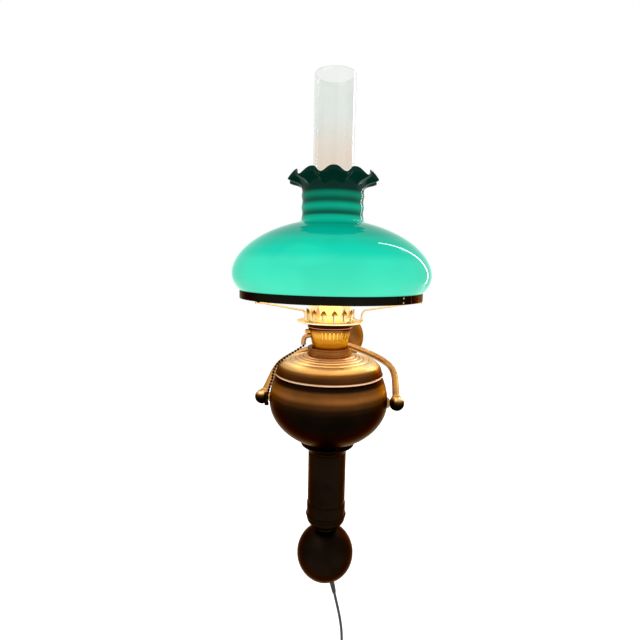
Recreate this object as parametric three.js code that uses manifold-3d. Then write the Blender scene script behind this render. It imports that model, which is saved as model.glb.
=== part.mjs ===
import * as THREE from "three";
import { mergeVertices } from "three/addons/utils/BufferGeometryUtils.js";
import Module from "manifold-3d";

const wasm = await Module();
wasm.setup();

// A wall lamp hung in a gimbal. Millimetres, +Z up, the wall is the plane y = 0 and the lamp
// stands in front of it at negative y. The origin is the centre of the wall plate's back.
// The lamp's own pieces are placed from the point where its pivot axis meets its upright axis.

const seatGap = 0.3; // between pieces that touch
const runGap = 0.4; // between a pin and the bore that it turns in
const overrun = 2; // how far a cutter reaches past what it cuts
const weldDistance = 0.001; // corners nearer than this are one corner
const circlePower = 2; // the power of a rounded outline that is round

const wall = {
  lampOut: 178, // from the wall to the lamp's axis
  pivotDrop: 59, // from the spindle's height down to the lamp's pivots
  domeRadius: 42,
  domeDepth: 40,
  domeSheet: 1.4,
  plateThickness: 5,
  plateGap: 1,
  bossRadius: 9,
  bossDepth: 14,
  boreFloor: 3,
  screwCircle: 26,
  screwRadius: 2.1,
  screwHeadRadius: 4.2,
  screwHeadDepth: 2.4,
  spindleRadius: 4,
  nutRadius: 8,
  nutDepth: 4,
  washerRadius: 10.5,
  washerDepth: 1.2,
  capRadius: 8.4,
  capDepth: 9,
  capThread: 5,
};
const screwCount = 3;

const yoke = {
  hubRadius: 12.5,
  hubDepth: 12.4,
  hubChamfer: 1.6,
  rodRadius: 5,
  pivotOut: 11.5, // from the fount's widest line out to the pivot ball's centre
  reach: 120.2, // the arm's curve: how far it heads back from the pivot,
  rise: 22.2, // how far it climbs on the way,
  bulge: 17.7, // how far its corner stands out past the pivot,
  cornerDrop: 34.3, // and how far that corner lies below the hub
  ballRadius: 10,
  ballFace: 9.4, // from the ball's centre to its flat inner face
  collarRadius: 6.4,
  collarLength: 13,
  pinRadius: 3,
  pinSeat: 5, // how deep the pin is set into the ball
  pinReach: 9, // how far it reaches into the fount
};

const bowl = {
  radius: 79.4,
  upperHalf: 79.6, // half heights of the two arcs above and below the widest line
  lowerHalf: 61,
  lowerPower: 1.91,
  baseRadius: 28,
  rimHeight: 36.1,
  sheet: 1,
  bossRadius: 6.2,
  bossFlange: 2,
};

const cover = {
  ridgeOut: 0.9, // how far the ridge stands past the bowl's rim
  ridgeBead: 1.6,
  shoulderRise: 16.5,
  plateRadius: 53,
  grooveDepth: 0.9,
  grooveWidth: 1.8,
  plateRise: 6.9,
  ringDepth: 0.5,
  skirtDepth: 6,
  sheet: 1.2,
  boreRadius: 18,
};
const pivotHalfSpan = bowl.radius + yoke.pivotOut;
const coverRingShares = [0.28, 0.52, 0.74]; // where the fine rings lie between groove and collar

const collar = {
  radius: 29.5,
  height: 9.4,
  chamfer: 1.2,
};

const basket = {
  neckRadius: 22.8,
  neckHeight: 11,
  topRadius: 28.3,
  brim: 1,
  height: 33.4,
  sheet: 1,
  slotWidth: 1.9,
  slotHeight: 11.5,
  slotTopGap: 2.4,
};
const slotPositions = 32;
const slotsLeftOutCount = 7; // a plain panel beside the switch
const firstSlotTurn = -1.5; // where the first slot lies, in slot steps from the front

const gallery = {
  radius: 43.6,
  sheet: 1.6,
  depth: 10.8,
  dishRadius: 39.5,
  beadOut: 1,
  boreRadius: 24,
  crownRadius: 31.4,
  crownSheet: 1.3,
  stemWidth: 3.4,
  headWidth: 9.6,
  headHeight: 10.4,
  barbDrop: 1.1,
  tipHeight: 16.4,
};
const crownCount = 14;
const crownTurn = -0.4; // where the first prong lies, in prong steps from the front

const socket = {
  standFlange: 2,
  standRadius: 8,
  radius: 17,
  lift: 12, // from the fount's top to the socket's floor
  sheet: 1,
  capRadius: 13,
  capHeight: 25,
  capLift: 12, // from the socket's floor to the bulb's cap
};

const bulb = {
  radius: 19,
  height: 98,
  neckRadius: 12.4,
  neckHeight: 22,
};

const pull = {
  housingOut: 31.5,
  housingHalfWidth: 5.5,
  housingHeight: 4.6,
  guideRadius: 3.1,
  guideBore: 2,
  guideStart: 20.5,
  guideOut: 34.2,
  guideBend: 9,
  guideFall: 12.4,
  aside: 15, // how far in front of the pivots the chain hangs
  beadRadius: 1.6,
  linkRadius: 0.5,
  beadPitch: 4.25,
  bellRadius: 2.9,
  bellNeck: 1.5,
  bellRim: 1,
  bellHeight: 12,
  bellTop: 4.9, // the bell's top above the pivots
};
const beadRingShares = [0, 0.3, 0.7]; // places of a bead's rings along its pitch
const shoulderTurns = [62, 30]; // degrees up the cover's shoulder where the chain lies on it
const chainHeightShares = [0.78, 0.45]; // heights up the bowl that it hangs past

const ring = {
  radius: 117.5,
  height: 9.9,
  sheet: 1.4,
  ledge: 5.4,
  bottom: 137.1, // above the pivots
  armWidth: 4.4,
  armSheet: 2.2,
  armFall: 11.3,
  armKnee: 9.5,
  armFootInset: 1.4,
};
const armTurns = [-41, 79, 199]; // degrees round from the front

const glass = {
  shadeSheet: 3.2,
  equatorRadius: 127.4,
  equatorRise: 30.9, // from the ring's foot to the shade's widest line
  upperHalf: 70.5,
  upperPower: 1.88,
  lowerHalf: 54,
  neckRadius: 39.2,
  neckHeight: 37,
  neckSwell: 1,
  mouthRadius: 55.4,
  mouthRise: 18,
  lobeLift: 4, // how far a lobe of the mouth rises and falls
  lobePull: 2.5, // how far it moves in and out
  chimneyRadius: 25.9,
  chimneySheet: 2,
  chimneyHeight: 305.5,
  footRadius: 29.4,
  footHeight: 33,
  footTaper: 14,
};
const lobeCount = 12;
const neckRings = 2;
const flareShares = [
  [0.22, 0.3],
  [0.62, 0.68],
  [1, 1],
]; // the mouth's outline, outward and upward

const stem = {
  rodRadius: 5,
  rodBore: 3,
  nutRadius: 8.5,
  nutHeight: 4,
  spacerHeight: 1.2,
  cupRadius: 36,
  cupHeight: 12.4,
  cupRim: 2,
  cupSheet: 1.6,
  radius: 25.6,
  sheet: 1.2,
  tubeLength: 72,
  sleeveOut: 1,
  sleeveLength: 21,
  bead: 1.3,
  endRadius: 13.6,
  endHeight: 13,
  neckInset: 1.2,
  neckHeight: 5,
};

const ball = {
  radius: 39.1,
  sheet: 1.6,
  ballastGap: 1.4,
  ballastRise: 22, // from the ball's centre to the ballast's flat top
  rodEnd: 4, // the rod's end above the ball's centre
  exitAside: 9, // from the ball's lowest point to the cord's exit
  bushingRadius: 4.4,
  bushingFlange: 6,
  bushingSheet: 1.6,
  bushingInset: 1.5, // from the shell's inner side to the bushing's flange
  bushingProud: 3.4,
};

const cord = {
  diameter: 4,
  hankSpacing: 5, // between neighbouring turns
  foldRadius: 12.1,
  waistDraw: 8, // how far the runs are drawn in where they are tied
  runLength: 71,
  tailLength: 16,
  hankTop: 393, // from the pivots down to the upper end of the runs
  tieHeight: 13,
  tieSheet: 1.4,
  tieGap: 0.6,
  reliefLength: 16,
  reliefRadius: 4,
  plugLength: 26,
  plugWidth: 24,
  plugDepth: 17,
  plugChamfer: 3,
  bladeLength: 17.5,
  bladeWidth: 6.4,
  bladeSheet: 1.5,
  bladeSpacing: 12.7,
};
const loopsPerLayer = 3;
const runSteps = 4;
const foldSteps = 8;

// How many steps a full turn has: the shade, the wide pieces, the stem, small rods and tiny ones.
const shadeSteps = 60;
const wideSteps = 24;
const stemSteps = 20;
const rodSteps = 10;
const tinySteps = 8;

const finishes = {
  agedBrass: { color: 0x7a5a2e, roughness: 0.42, metalness: 0.9 },
  paleBrass: { color: 0xc59a5a, roughness: 0.38, metalness: 0.9 },
  giltBrass: { color: 0xd9a441, roughness: 0.3, metalness: 0.95 },
  bronze: { color: 0x3a2c1c, roughness: 0.4, metalness: 0.9 },
  ringBrass: { color: 0x1d1a14, roughness: 0.4, metalness: 0.8 },
  steel: { color: 0x8c8c8c, roughness: 0.4, metalness: 0.9 },
  iron: { color: 0x3c3c3c, roughness: 0.8, metalness: 0.6 },
  greenGlass: { color: 0x0fbf96, roughness: 0.15, metalness: 0 },
  clearGlass: { color: 0xe8eeee, roughness: 0.05, metalness: 0, transparent: true, opacity: 0.35 },
  bulbGlass: { color: 0xfff2d0, roughness: 0.2, metalness: 0, emissive: 0xffe2a0 },
  porcelain: { color: 0xe8e0d0, roughness: 0.7, metalness: 0 },
  darkRubber: { color: 0x1a140f, roughness: 0.6, metalness: 0 },
  cordCover: { color: 0x1f170f, roughness: 0.55, metalness: 0 },
  plugBrass: { color: 0xc7a661, roughness: 0.35, metalness: 0.9 },
};
const materials = {};
for (const [name, look] of Object.entries(finishes)) {
  materials[name] = new THREE.MeshStandardMaterial({ name, ...look });
}

const fullTurn = 2 * Math.PI;
const degree = Math.PI / 180;
const origin = new THREE.Vector3();
const up = new THREE.Vector3(0, 0, 1);

function point(radius, height) {
  return new THREE.Vector2(radius, height);
}

// Turns a closed outline of radius and height round the vertical axis.
function turned(outline, steps) {
  const loop = [...outline];
  if (THREE.ShapeUtils.area(loop) < 0) {
    loop.reverse();
  }
  const firstOnAxis = loop.findIndex((p, i) => p.x <= 0 && loop.at(i - 1).x <= 0);
  const ordered = firstOnAxis < 0 ? [...loop, loop[0].clone()] : loop.slice(firstOnAxis);
  if (firstOnAxis > 0) {
    ordered.push(...loop.slice(0, firstOnAxis));
  }
  return new THREE.LatheGeometry(ordered, steps).rotateX(Math.PI / 2);
}

// The inner side of a sheet whose outer side runs upward along the given points.
function innerSide(outer, thickness) {
  return outer.map((p, i) => {
    const before = outer[Math.max(i - 1, 0)];
    const after = outer[Math.min(i + 1, outer.length - 1)];
    const along = after.clone().sub(before).normalize();
    return point(p.x - along.y * thickness, p.y + along.x * thickness);
  });
}

function sheetOutline(outer, inner) {
  return outer.concat([...inner].reverse());
}

// A quarter of a rounded outline, from its widest line up to a height.
function roundedArc(radius, half, power, endHeight, count) {
  const endAngle = Math.asin(Math.min((endHeight / half) ** (power / 2), 1));
  const points = [];
  for (let i = 0; i <= count; i++) {
    const angle = (endAngle * i) / count;
    const across = Math.max(Math.cos(angle), 0) ** (2 / power);
    points.push(point(radius * across, half * Math.sin(angle) ** (2 / power)));
  }
  return points;
}

// How far a rounded outline still reaches across, where it has come a given way along.
function reachAt(way, along, across, power) {
  return across * (1 - (way / along) ** power) ** (1 / power);
}

function shifted(points, across, height) {
  return points.map((p) => point(p.x + across, p.y + height));
}

function mirroredDown(points) {
  return points.map((p) => point(p.x, -p.y)).reverse();
}

function disc(radius, low, high, steps = rodSteps) {
  return turned([point(0, low), point(radius, low), point(radius, high), point(0, high)], steps);
}

function tube(outerRadius, innerRadius, low, high, steps = rodSteps) {
  const outline = [
    point(innerRadius, low),
    point(outerRadius, low),
    point(outerRadius, high),
    point(innerRadius, high),
  ];
  return turned(outline, steps);
}

function hexNut(radius, bore, low, high) {
  return cut(disc(radius, low, high, 6), disc(bore, low - overrun, high + overrun));
}

// A rod from a start point along a direction.
function rodAlong(start, direction, radius, length, steps = rodSteps) {
  return swungTo(disc(radius, 0, length, steps), start, direction);
}

// Swings a piece turned about the vertical axis so that it starts at a point and faces a direction.
function swungTo(geometry, start, direction) {
  const turn = new THREE.Quaternion().setFromUnitVectors(up, direction);
  return geometry.applyQuaternion(turn).translate(start.x, start.y, start.z);
}

// Swings a piece turned about the vertical axis so that it faces the room from the wall.
function facingRoom(geometry) {
  return geometry.rotateX(Math.PI / 2);
}

function solid(geometry) {
  const bare = new THREE.BufferGeometry();
  const source = geometry.index ? geometry.toNonIndexed() : geometry;
  bare.setAttribute("position", source.getAttribute("position"));
  const merged = mergeVertices(bare, weldDistance);
  const vertProperties = merged.attributes.position.array;
  const triVerts = new Uint32Array(merged.index.array);
  return new wasm.Manifold(new wasm.Mesh({ numProp: 3, vertProperties, triVerts }));
}

function geometryOf(body) {
  const data = body.getMesh();
  const geometry = new THREE.BufferGeometry();
  geometry.setAttribute("position", new THREE.BufferAttribute(data.vertProperties, 3));
  geometry.setIndex(new THREE.BufferAttribute(data.triVerts, 1));
  return geometry;
}

function cut(geometry, ...cutters) {
  return geometryOf(cutters.reduce((body, cutter) => body.subtract(solid(cutter)), solid(geometry)));
}

function join(geometry, ...others) {
  return geometryOf(others.reduce((body, other) => body.add(solid(other)), solid(geometry)));
}

// A closed tube through a list of points, with its own radius at each point. The sections keep
// one side turned the given way, which no stretch of the path may run along.
function swept(points, radii, sides, sideways) {
  const positions = [];
  const index = [];
  points.forEach((centre, i) => {
    const before = points[Math.max(i - 1, 0)];
    const after = points[Math.min(i + 1, points.length - 1)];
    const along = after.clone().sub(before).normalize();
    const across = sideways.clone().cross(along).normalize();
    const over = along.clone().cross(across);
    for (let side = 0; side < sides; side++) {
      const angle = (fullTurn * side) / sides;
      const corner = centre.clone();
      corner.addScaledVector(across, radii[i] * Math.cos(angle));
      corner.addScaledVector(over, radii[i] * Math.sin(angle));
      positions.push(corner.x, corner.y, corner.z);
    }
  });
  for (let i = 0; i + 1 < points.length; i++) {
    for (let side = 0; side < sides; side++) {
      const a = i * sides + side;
      const b = i * sides + ((side + 1) % sides);
      index.push(a, b, b + sides, a, b + sides, a + sides);
    }
  }
  const last = (points.length - 1) * sides;
  for (let side = 1; side + 1 < sides; side++) {
    index.push(0, side + 1, side);
    index.push(last, last + side, last + side + 1);
  }
  const geometry = new THREE.BufferGeometry();
  geometry.setAttribute("position", new THREE.Float32BufferAttribute(positions, 3));
  geometry.setIndex(index);
  return geometry;
}

function closedShape(corners) {
  return new THREE.Shape(corners.map(([x, y]) => point(x, y)));
}

function roundSection(radius, sides) {
  const corners = [];
  for (let side = 0; side < sides; side++) {
    const angle = (fullTurn * side) / sides;
    corners.push([radius * Math.cos(angle), radius * Math.sin(angle)]);
  }
  return closedShape(corners);
}

const object = new THREE.Group();
const bracketGroup = new THREE.Group();
const yokeGroup = new THREE.Group();
const lampGroup = new THREE.Group();
lampGroup.position.set(0, -wall.lampOut, -wall.pivotDrop);
object.add(bracketGroup, yokeGroup, lampGroup);

function place(group, name, geometry, material) {
  const mesh = new THREE.Mesh(geometry, material);
  mesh.name = name;
  group.add(mesh);
}

// Distances out from the wall along the spindle.
const nutOut = wall.domeDepth + seatGap;
const washerOut = nutOut + wall.nutDepth + seatGap;
const hubOut = washerOut + wall.washerDepth + seatGap;
const hubCentreOut = hubOut + yoke.hubDepth / 2;
const capOut = hubOut + yoke.hubDepth + seatGap;
const spindleHole = wall.spindleRadius + seatGap;

function screwOutline(gap, past) {
  const face = wall.plateThickness - seatGap;
  return [
    point(0, -past),
    point(wall.screwRadius + gap, -past),
    point(wall.screwRadius + gap, face - wall.screwHeadDepth - gap),
    point(wall.screwHeadRadius + gap, face),
    point(wall.screwHeadRadius + gap, face + past),
    point(0, face + past),
  ];
}

function screwAt(i, gap, past) {
  const angle = (fullTurn * i) / screwCount + Math.PI / 2;
  const body = facingRoom(turned(screwOutline(gap, past), tinySteps));
  return body.translate(wall.screwCircle * Math.cos(angle), 0, wall.screwCircle * Math.sin(angle));
}

function wallBackplate() {
  const domeRadius = wall.domeRadius - wall.domeSheet;
  const domeDepth = wall.domeDepth - wall.domeSheet;
  const radius = reachAt(wall.plateThickness, domeDepth, domeRadius, circlePower) - wall.plateGap;
  const outline = [
    point(0, 0),
    point(radius, 0),
    point(radius, wall.plateThickness),
    point(wall.bossRadius, wall.plateThickness),
    point(wall.bossRadius, wall.bossDepth),
    point(spindleHole, wall.bossDepth),
    point(spindleHole, wall.boreFloor),
    point(0, wall.boreFloor),
  ];
  const plate = facingRoom(turned(outline, wideSteps));
  const holes = [];
  for (let i = 0; i < screwCount; i++) {
    holes.push(screwAt(i, seatGap, overrun));
  }
  return cut(plate, ...holes);
}

function wallDome() {
  const sides = [0, wall.domeSheet].map((inset) => {
    const radius = wall.domeRadius - inset;
    const depth = wall.domeDepth - inset;
    const edge = reachAt(spindleHole, radius, depth, circlePower);
    const arc = roundedArc(radius, depth, circlePower, edge, 6);
    arc.at(-1).setX(spindleHole);
    return arc;
  });
  return facingRoom(turned(sheetOutline(...sides), wideSteps));
}

function swivelCap() {
  const floor = wall.capThread + seatGap;
  const crown = roundedArc(wall.capRadius, wall.capDepth, circlePower, wall.capDepth, 4);
  const outline = [point(0, floor), point(spindleHole, floor), point(spindleHole, 0), ...crown];
  return facingRoom(turned(outline, rodSteps)).translate(0, -capOut, 0);
}

function addWallBracket() {
  place(bracketGroup, "wall_backplate", wallBackplate(), materials.agedBrass);
  for (let i = 0; i < screwCount; i++) {
    place(bracketGroup, `wall_screw_${i + 1}`, screwAt(i, 0, 0), materials.steel);
  }
  place(bracketGroup, "wall_dome", wallDome(), materials.agedBrass);
  const spindle = disc(wall.spindleRadius, wall.boreFloor + seatGap, capOut + wall.capThread);
  place(bracketGroup, "wall_spindle", facingRoom(spindle), materials.steel);
  const nut = hexNut(wall.nutRadius, spindleHole, nutOut, nutOut + wall.nutDepth);
  place(bracketGroup, "dome_nut", facingRoom(nut), materials.agedBrass);
  const washer = tube(wall.washerRadius, spindleHole, washerOut, washerOut + wall.washerDepth);
  place(bracketGroup, "swivel_washer", facingRoom(washer), materials.agedBrass);
  place(bracketGroup, "swivel_cap", swivelCap(), materials.agedBrass);
}

// The arm's curve, from the pivot ball's centre to the hub's centre. Side is -1 or 1.
function armCurve(side) {
  const pivot = new THREE.Vector3(side * pivotHalfSpan, -wall.lampOut, -wall.pivotDrop);
  const back = pivot.clone().add(new THREE.Vector3(0, yoke.reach, yoke.rise));
  const cornerAcross = side * (pivotHalfSpan + yoke.bulge);
  const corner = new THREE.Vector3(cornerAcross, -hubCentreOut, -yoke.cornerDrop);
  return new THREE.CubicBezierCurve3(pivot, back, corner, new THREE.Vector3(0, -hubCentreOut, 0));
}

function yokeHub() {
  const bore = wall.spindleRadius + runGap;
  const neck = yoke.hubRadius - yoke.hubChamfer;
  const outline = [
    point(bore, 0),
    point(neck, 0),
    point(yoke.hubRadius, yoke.hubChamfer),
    point(yoke.hubRadius, yoke.hubDepth - yoke.hubChamfer),
    point(neck, yoke.hubDepth),
    point(bore, yoke.hubDepth),
  ];
  return facingRoom(turned(outline, stemSteps)).translate(0, -hubOut, 0);
}

function yokeArm(side) {
  const curve = armCurve(side);
  const section = roundSection(yoke.rodRadius, tinySteps);
  const rod = new THREE.ExtrudeGeometry(section, { steps: 16, extrudePath: curve });
  const along = curve.getTangent(0);
  const behindBall = curve.getPoint(0).addScaledVector(along, -yoke.ballRadius);
  const ballLength = yoke.ballRadius + yoke.collarLength + seatGap;
  const ballEnd = rodAlong(behindBall, along, yoke.ballRadius + overrun, ballLength);
  const hubEnd = yoke.hubDepth + yoke.rodRadius;
  const hubSpace = disc(yoke.hubRadius + seatGap, -yoke.rodRadius, hubEnd, stemSteps);
  const inward = new THREE.Vector3(-side, 0, 0);
  const hubCentre = new THREE.Vector3(0, -hubCentreOut, 0);
  const pastCentre = rodAlong(hubCentre, inward, yoke.hubRadius + overrun, yoke.hubRadius + overrun);
  return cut(rod, ballEnd, facingRoom(hubSpace).translate(0, -hubOut, 0), pastCentre);
}

function pivotBall(side) {
  const curve = armCurve(side);
  const centre = curve.getPoint(0);
  const inward = new THREE.Vector3(-side, 0, 0);
  const inside = (distance) => centre.clone().addScaledVector(inward, distance);
  const sphere = new THREE.SphereGeometry(yoke.ballRadius, 14, 8).translate(centre.x, centre.y, centre.z);
  const neck = rodAlong(centre, curve.getTangent(0), yoke.collarRadius, yoke.collarLength);
  const boreStart = yoke.ballRadius - yoke.pinSeat - seatGap;
  const bore = rodAlong(inside(boreStart), inward, yoke.pinRadius + seatGap, yoke.ballRadius);
  const flat = rodAlong(inside(yoke.ballFace), inward, yoke.ballRadius, yoke.ballRadius);
  return cut(join(sphere, neck), bore, flat);
}

function pivotPin(side) {
  const inward = new THREE.Vector3(-side, 0, 0);
  const start = armCurve(side).getPoint(0).addScaledVector(inward, yoke.ballRadius - yoke.pinSeat);
  return rodAlong(start, inward, yoke.pinRadius, yoke.pinSeat + yoke.pinReach);
}

function addYoke() {
  place(yokeGroup, "yoke_hub", yokeHub(), materials.paleBrass);
  for (const [name, side] of Object.entries({ left: -1, right: 1 })) {
    place(yokeGroup, `yoke_arm_${name}`, yokeArm(side), materials.paleBrass);
    place(yokeGroup, `pivot_ball_${name}`, pivotBall(side), materials.paleBrass);
    place(yokeGroup, `pivot_pin_${name}`, pivotPin(side), materials.steel);
  }
}

// The bowl's outer radius at a height above or below its widest line.
function bowlRadiusAt(height) {
  const half = height > 0 ? bowl.upperHalf : bowl.lowerHalf;
  const power = height > 0 ? circlePower : bowl.lowerPower;
  return bowl.radius * (1 - (Math.abs(height) / half) ** power) ** (1 / power);
}

const bowlDepth = reachAt(bowl.baseRadius, bowl.radius, bowl.lowerHalf, bowl.lowerPower);
const bowlRimRadius = bowlRadiusAt(bowl.rimHeight);
const rodHole = stem.rodRadius + seatGap;

function fountBowl() {
  const lower = roundedArc(bowl.radius, bowl.lowerHalf, bowl.lowerPower, bowlDepth, 6);
  const upper = roundedArc(bowl.radius, bowl.upperHalf, circlePower, bowl.rimHeight, 2);
  const outer = [point(rodHole, -bowlDepth), ...mirroredDown(lower), ...upper.slice(1)];
  const shell = turned(sheetOutline(outer, innerSide(outer, bowl.sheet)), wideSteps);
  const holes = [-1, 1].map((side) => {
    const outward = new THREE.Vector3(side, 0, 0);
    return rodAlong(origin, outward, bowl.bossRadius + seatGap, bowl.radius + overrun);
  });
  return cut(shell, ...holes);
}

function fountBoss(side) {
  const outward = new THREE.Vector3(side, 0, 0);
  const along = (distance) => outward.clone().multiplyScalar(distance);
  const start = bowl.radius - yoke.pinReach;
  const end = pivotHalfSpan - yoke.ballFace - seatGap;
  const flangeRadius = bowl.bossRadius + bowl.bossFlange;
  const flangeEnd = bowlRadiusAt(flangeRadius) - bowl.sheet - seatGap - bowl.bossFlange;
  const body = rodAlong(along(start), outward, bowl.bossRadius, end - start);
  const flange = rodAlong(along(start), outward, flangeRadius, flangeEnd - start);
  const bore = rodAlong(along(start - overrun), outward, yoke.pinRadius + runGap, bowl.radius);
  return cut(join(body, flange), bore);
}

// Heights of the fount's cover, up from the bowl's rim.
const ridgeRadius = bowlRimRadius + cover.ridgeOut;
const ridgeHeight = bowl.rimHeight + seatGap + cover.ridgeBead;
const shoulderRadius = ridgeRadius - cover.ridgeBead;
const shoulderFoot = ridgeHeight + cover.ridgeBead;
const plateHeight = shoulderFoot + cover.shoulderRise;
const coverTop = plateHeight + cover.plateRise;

function fountTop() {
  const skirt = bowlRimRadius - bowl.sheet - cover.sheet;
  const skirtFoot = bowl.rimHeight - cover.skirtDepth;
  const across = shoulderRadius - cover.plateRadius;
  const outer = [point(skirt, skirtFoot), point(skirt, bowl.rimHeight + seatGap)];
  for (let i = 0; i <= 4; i++) {
    const angle = (Math.PI * i) / 4 - Math.PI / 2;
    const beadHeight = ridgeHeight + cover.ridgeBead * Math.sin(angle);
    outer.push(point(shoulderRadius + cover.ridgeBead * Math.cos(angle), beadHeight));
  }
  const shoulder = roundedArc(across, cover.shoulderRise, circlePower, cover.shoulderRise, 4);
  outer.push(...shifted(shoulder, cover.plateRadius, shoulderFoot).slice(1));
  outer.push(point(cover.plateRadius - cover.grooveWidth / 2, plateHeight - cover.grooveDepth));
  const plateEdge = cover.plateRadius - cover.grooveWidth;
  outer.push(point(plateEdge, plateHeight));
  for (const share of coverRingShares) {
    const radius = plateEdge - (plateEdge - collar.radius) * share;
    const height = plateHeight + cover.plateRise * share;
    outer.push(point(radius, height), point(radius, height + cover.ringDepth));
  }
  outer.push(point(collar.radius, coverTop), point(cover.boreRadius, coverTop));
  const innerRise = cover.shoulderRise - cover.sheet;
  const innerShoulder = roundedArc(across - cover.sheet, innerRise, circlePower, innerRise, 3);
  const inner = [
    point(skirt - cover.sheet, skirtFoot),
    ...shifted(innerShoulder, cover.plateRadius, shoulderFoot).slice(0, -1),
    point(plateEdge, plateHeight - cover.grooveDepth - cover.sheet),
    point(cover.boreRadius, coverTop - cover.sheet),
  ];
  return turned(sheetOutline(outer, inner), wideSteps);
}

const basketHole = basket.neckRadius + seatGap;
const basketFoot = coverTop + seatGap;
const basketTop = basketFoot + basket.height;
const galleryFoot = basketTop + seatGap;
const galleryTop = galleryFoot + gallery.depth;

function fountCollar() {
  const low = coverTop + seatGap;
  const high = low + collar.height;
  const outline = [
    point(basketHole, low),
    point(collar.radius, low),
    point(collar.radius, high - collar.chamfer),
    point(collar.radius - collar.chamfer, high),
    point(basketHole, high),
  ];
  return turned(outline, wideSteps);
}

const socketFoot = coverTop + socket.lift;
const socketTop = socketFoot + socket.capLift + socket.capHeight;
const linerRadius = socket.radius - socket.sheet - seatGap;
const bulbFoot = socketTop + seatGap;
const housingTop = basketTop - basket.brim;
const housingFoot = housingTop - pull.housingHeight;
const guideHeight = housingFoot - seatGap - pull.guideRadius;

function switchHousing(gap) {
  const start = socket.radius + seatGap;
  const width = 2 * (pull.housingHalfWidth + gap);
  const height = pull.housingHeight + 2 * gap;
  const box = new THREE.BoxGeometry(pull.housingOut - start, width, height);
  const centreHeight = (housingTop + housingFoot) / 2;
  return box.translate(-(pull.housingOut + start) / 2, -pull.housingHalfWidth, centreHeight);
}

function burnerBasket() {
  const coneTop = basketTop - basket.brim;
  const coneRadius = basket.topRadius - basket.sheet;
  const outer = [
    point(basket.neckRadius, basketFoot),
    point(basket.neckRadius, basketFoot + basket.neckHeight),
    point(coneRadius, coneTop),
    point(basket.topRadius, coneTop),
    point(basket.topRadius, basketTop),
  ];
  const inner = [
    point(basket.neckRadius - basket.sheet, basketFoot),
    point(basket.neckRadius - basket.sheet, basketFoot + basket.neckHeight),
    point(coneRadius - basket.sheet, coneTop),
    point(coneRadius - basket.sheet, basketTop),
  ];
  const slots = [];
  for (let i = 0; i < slotPositions - slotsLeftOutCount; i++) {
    const angle = (fullTurn * (i + firstSlotTurn)) / slotPositions;
    const box = new THREE.BoxGeometry(basket.slotWidth, basket.topRadius, basket.slotHeight);
    const centreHeight = coneTop - basket.slotTopGap - basket.slotHeight / 2;
    slots.push(box.translate(0, -basket.topRadius, centreHeight).rotateZ(angle));
  }
  const guideStart = new THREE.Vector3(-socket.radius, -pull.housingHalfWidth, guideHeight);
  const outward = new THREE.Vector3(-1, 0, 0);
  const guideHole = rodAlong(guideStart, outward, pull.guideRadius + seatGap, basket.topRadius);
  const shell = turned(sheetOutline(outer, inner), wideSteps);
  return cut(shell, ...slots, switchHousing(seatGap), guideHole);
}

function crownProng(i) {
  const half = gallery.stemWidth / 2;
  const wide = gallery.headWidth / 2;
  const neck = gallery.headHeight;
  const shape = closedShape([
    [-half, 0],
    [half, 0],
    [half, neck],
    [wide, neck - gallery.barbDrop],
    [0, gallery.tipHeight],
    [-wide, neck - gallery.barbDrop],
    [-half, neck],
  ]);
  const plate = new THREE.ExtrudeGeometry(shape, { depth: gallery.crownSheet, bevelEnabled: false });
  const upright = plate.rotateX(Math.PI / 2).translate(0, gallery.crownSheet - gallery.crownRadius, 0);
  const angle = (fullTurn * (i + crownTurn)) / crownCount;
  return upright.translate(0, 0, galleryTop - gallery.sheet / 2).rotateZ(angle);
}

function burnerGallery() {
  const under = galleryTop - gallery.sheet;
  const seat = glass.footRadius - glass.chimneySheet - seatGap;
  const dishFoot = basket.topRadius;
  const beadHeight = galleryFoot + gallery.beadOut * 2;
  const outline = [
    point(gallery.boreRadius, galleryFoot),
    point(dishFoot, galleryFoot),
    point(dishFoot, beadHeight - gallery.beadOut),
    point(dishFoot + gallery.beadOut, beadHeight),
    point(dishFoot, beadHeight + gallery.beadOut),
    point(gallery.dishRadius, under - gallery.sheet),
    point(gallery.dishRadius + gallery.sheet, under),
    point(gallery.radius, under),
    point(gallery.radius, galleryTop),
    point(seat, galleryTop),
    point(gallery.boreRadius, galleryFoot + gallery.sheet),
  ];
  const prongs = [];
  for (let i = 0; i < crownCount; i++) {
    prongs.push(crownProng(i));
  }
  return join(turned(outline, wideSteps), ...prongs);
}

// A spool that stands on the fount's top and carries the lampholder.
function socketStand() {
  const low = coverTop + seatGap;
  const high = socketFoot - seatGap;
  const flange = basket.neckRadius - basket.sheet - seatGap;
  const outline = [
    point(rodHole, low),
    point(flange, low),
    point(flange, low + socket.standFlange),
    point(socket.standRadius, low + socket.standFlange),
    point(socket.standRadius, high),
    point(rodHole, high),
  ];
  return turned(outline, rodSteps);
}

function lampSocket() {
  const floor = socketFoot + socket.sheet;
  const outline = [
    point(rodHole, socketFoot),
    point(socket.radius, socketFoot),
    point(socket.radius, socketTop),
    point(socket.radius - socket.sheet, socketTop),
    point(socket.radius - socket.sheet, floor),
    point(rodHole, floor),
  ];
  return turned(outline, stemSteps);
}

function bulbGlass() {
  const domeFoot = bulbFoot + bulb.height - bulb.radius;
  const dome = roundedArc(bulb.radius, bulb.radius, circlePower, bulb.radius, 4);
  const outline = [
    point(0, bulbFoot),
    point(bulb.neckRadius, bulbFoot),
    point(bulb.radius, bulbFoot + bulb.neckHeight),
    ...shifted(dome, 0, domeFoot),
  ];
  return turned(outline, rodSteps);
}

const guideMouth = new THREE.Vector3(-pull.guideOut, -pull.housingHalfWidth, guideHeight - pull.guideFall);

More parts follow.
